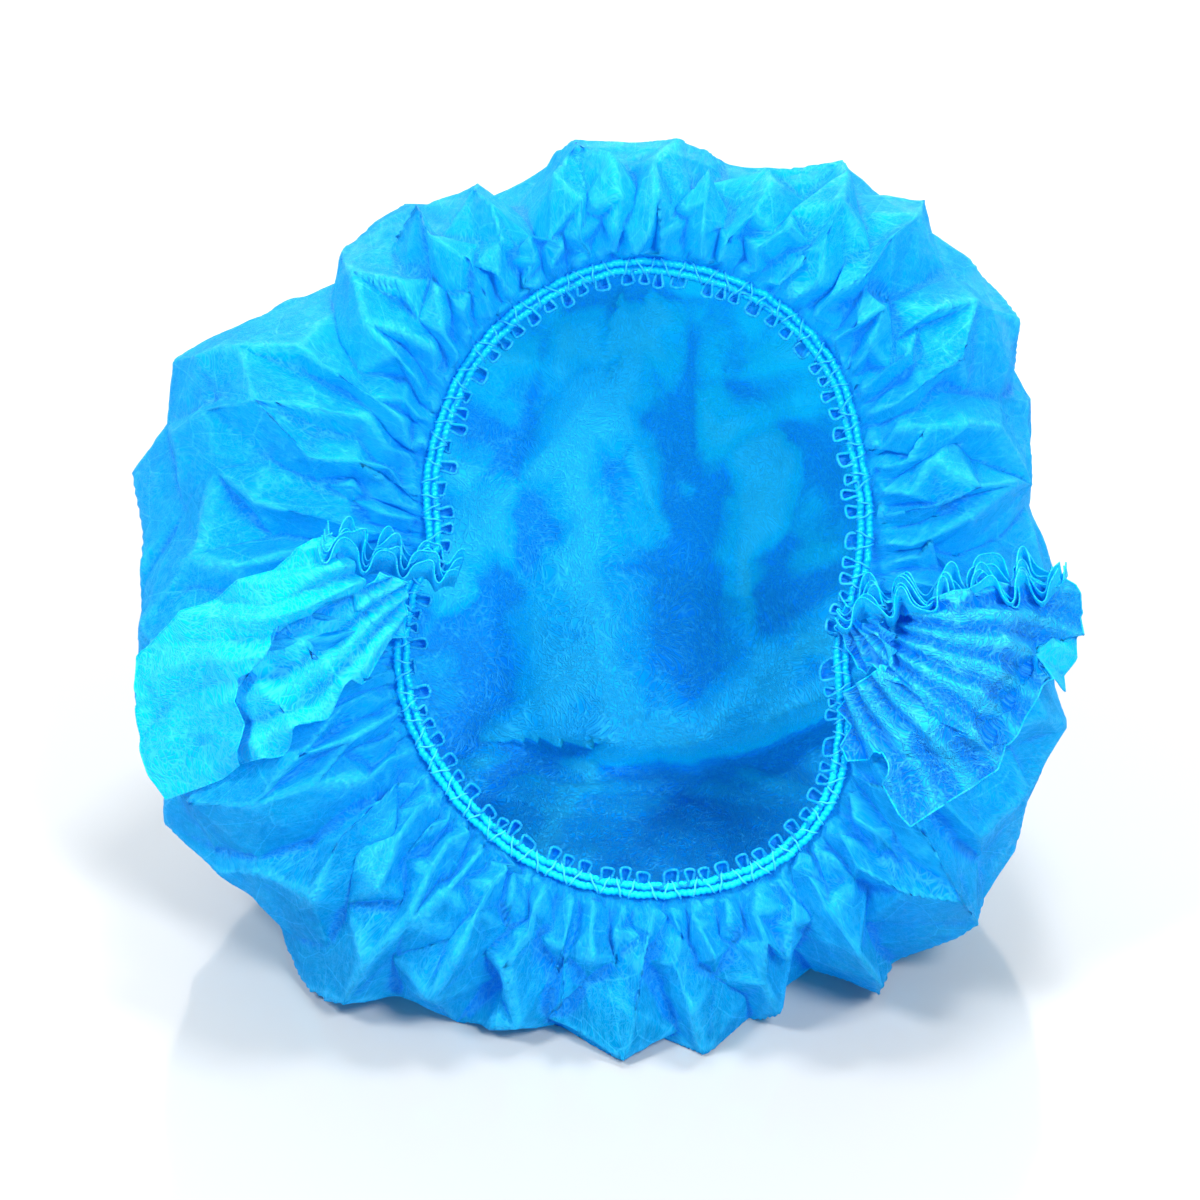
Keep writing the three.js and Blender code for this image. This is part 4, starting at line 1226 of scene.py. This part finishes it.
def netSheet(corners, panels, fan, look, rng):  # the flap: panels rounded a little, then pleated like a fan
    names = list(corners)
    px, py, lift = np.array([corners[n] for n in names], dtype=float).T
    points, flat = atPixel(px, py, lift)
    faces = [[names.index(n) for n in panel.split()] for panel in panels]
    net = meshPiece("net", points, faces, flat)
    crease = net.data.attributes.new("crease_edge", "FLOAT", "EDGE")
    crease.data.foreach_set("value", [look["fold"]] * len(net.data.edges))
    finer = net.modifiers.new("finer", "SUBSURF")
    finer.levels = finer.render_levels = look["finer"]
    finer.boundary_smooth = "PRESERVE_CORNERS"
    applied(net)
    points, triangles, flat = meshArrays(net.data)
    faces = [tuple(p.vertices) for p in net.data.polygons]
    lines = [(line, True) for line in boundaryLines(net.data)]
    bpy.data.objects.remove(net)
    crumple = np.zeros(len(points))
    for spacing, depth in zip(look["creaseSpacing"], look["creaseDepths"]):
        crumple += depth * creased(flat, spacing, rng, look["creaseSnap"])
    outward = flat - atPixel(np.array([fan[0]]), np.array([fan[1]]), 0.0)[1]
    reach = np.hypot(outward[:, 0], outward[:, 1])
    turns = np.arctan2(outward[:, 1], outward[:, 0]) / (2 * math.pi) * look["fanFolds"]
    turns = turns + look["fanBend"] * np.sin(reach / 11)
    pleats = smoothStep(reach / 20) * (1 - 0.45 * smoothStep((reach - 50) / 60))
    crumple += look["fanDepth"] * (2 * np.abs(2 * (turns % 1) - 1) - 1) * pleats
    points = points + vertexNormals(points, triangles) * crumple[:, None]
    return points, faces, flat, lines


def ruffleSheets(ruffle, look):  # serpentine layers of hem
    rng = np.random.default_rng(ruffle["seed"])
    t = np.linspace(0, 1, look["ruffleColumns"])
    uneven = look["uneven"] * waveNoise(rng, 3, 1, 4)(t * 0.9)
    (x0, y0), (x1, y1) = ruffle["from"], ruffle["to"]
    length = math.hypot(x1 - x0, y1 - y0)
    alongX, alongY = (x1 - x0) / length, (y1 - y0) / length
    swings, lifts = ((a * (1 - t) + b * t) for a, b in (ruffle["swing"], ruffle["lift"]))
    for layer in range(ruffle["layers"]):
        wander = waveNoise(rng, 4, 1, 6)(t * 0.8)
        phase = 2 * math.pi * ruffle["waves"] * t + uneven + look["wander"] * wander
        phase = phase + about(rng, look["shift"])
        swing = swings * (1 + look["swingSpread"] * waveNoise(rng, 3, 2, 7)(t))
        lift = lifts - look["layerDrop"] * layer + look["sway"] * np.sin(phase * 0.5)
        rows = []
        for row in range(look["ruffleRows"]):
            v = row / (look["ruffleRows"] - 1)
            wave = (np.sin(phase) - 0.08 * np.sin(3 * phase + 0.4)) * swing * (1 - 0.5 * v)
            along = t * length - 0.12 * swing * np.sin(2 * phase + 0.5) * (1 - v)
            px = x0 + alongX * along - alongY * wave + ruffle["apart"][0] * layer + ruffle["down"][0] * v
            py = y0 + alongY * along + alongX * wave + ruffle["apart"][1] * layer + ruffle["down"][1] * v
            rows.append(atPixel(px, py, lift - ruffle["depth"] * v ** 1.3))
        points = np.concatenate([row[0] for row in rows])
        flat = np.stack([np.tile(t * length * look["gather"], look["ruffleRows"]),
                         np.repeat(np.arange(look["ruffleRows"]) * look["rowStep"], len(t))], axis=1)
        n = look["ruffleColumns"]
        faces = [(r * n + i, r * n + i + 1, (r + 1) * n + i + 1, (r + 1) * n + i)
                 for r in range(look["ruffleRows"] - 1) for i in range(n - 1)]
        yield points, faces, flat, [(list(range(n)), False)]


def makeEar(name, corners, panels, ruffle, look):
    rng = np.random.default_rng(ruffle["seed"])
    sheets = [netSheet(corners, panels, ruffle["fan"], look, rng), *ruffleSheets(ruffle, look)]
    return withRolledEdges(name, sheets, look)


crown = finished(makeCrown(crownCloth), thinCloth, "cloth", "crown", extra=(foldedCloth, edgeCloth))
print("crown made")
finished(makeCord("outer_cord_yarn", 1, 31), elasticYarn, "elastic", "elastic_outer_cord")
finished(makeCord("inner_cord_yarn", -1, 32), elasticYarn, "elastic", "elastic_inner_cord")
finished(makeThread(threadLook), sewingYarn, "elastic")
print("elastic made")
leftFlap = finished(makeEar("left_pleats", leftCorners, leftPanels, leftRuffle, earLook),
                    foldedCloth, "cloth", "left_ear", extra=(edgeCloth,))
rightFlap = finished(makeEar("right_pleats", rightCorners, rightPanels, rightRuffle, earLook),
                     foldedCloth, "cloth", "right_ear", extra=(edgeCloth,))
print("ears made")

# camera, floor and light, in metres; each light's place, its width and height, and its power
cameraLook = {"sensor": 36, "clipEnd": 20}
floorReach = 6
floorLook = {"Base Color": (0.42, 0.424, 0.428, 1), "Roughness": 0.1, "Specular IOR Level": 0.35}
worldLook = {"Color": (1, 1, 1, 1), "Strength": 0.5}
studioLights = {
    "key": ((-1.0, -0.8, 1.4), (0.4, 0.4), 28), "front": ((0.6, -1.3, 1.25), (0.4, 0.4), 34),
    "top": ((0.2, 0.3, 1.8), (0.4, 0.4), 20), "backdrop": ((0.0, 1.8, 1.0), (3.0, 1.6), 40),
}
lightsFace = Vector((0, 0, 0.1))


def setInputs(node, values):
    for name, value in values.items():
        node.inputs[name].default_value = value


def turnTowards(thing, direction):
    thing.rotation_euler = direction.to_track_quat("-Z", "Y").to_euler()


target = Vector(placed((view["middle"] - view["openingX"]) * view["perPixel"],
                       (view["openingY"] - view["middle"]) * view["perPixel"], 0.0) * mm)
camera = newObject("camera", bpy.data.cameras.new("camera"))
away = Vector(forward)
camera.location = target + away * view["distance"] * mm
turnTowards(camera, -away)
camera.data.sensor_width = cameraLook["sensor"]
camera.data.lens = cameraLook["sensor"] * view["distance"] / (view["across"] * view["perPixel"])
camera.data.clip_end = cameraLook["clipEnd"]
bpy.context.scene.camera = camera

floorMesh = bpy.data.meshes.new("floor")
floorCorners = [(x * floorReach, y * floorReach, 0) for x, y in ((-1, -1), (1, -1), (1, 1), (-1, 1))]
floorMesh.from_pydata(floorCorners, [], [(0, 1, 2, 3)])
floor = newObject("floor", floorMesh)
floorMaterial = bpy.data.materials.new("white_floor")
floorMaterial.use_nodes = True
setInputs(floorMaterial.node_tree.nodes["Principled BSDF"], floorLook)
floorMesh.materials.append(floorMaterial)

world = bpy.data.worlds.new("studio")
world.use_nodes = True
setInputs(world.node_tree.nodes["Background"], worldLook)
bpy.context.scene.world = world
for name, (place, size, power) in studioLights.items():
    light = newObject(name, bpy.data.lights.new(name, "AREA"))
    light.data.shape = "RECTANGLE"
    light.data.size, light.data.size_y = size
    light.data.energy = power
    light.location = place
    turnTowards(light, lightsFace - light.location)
bpy.context.scene.view_settings.view_transform = "Standard"
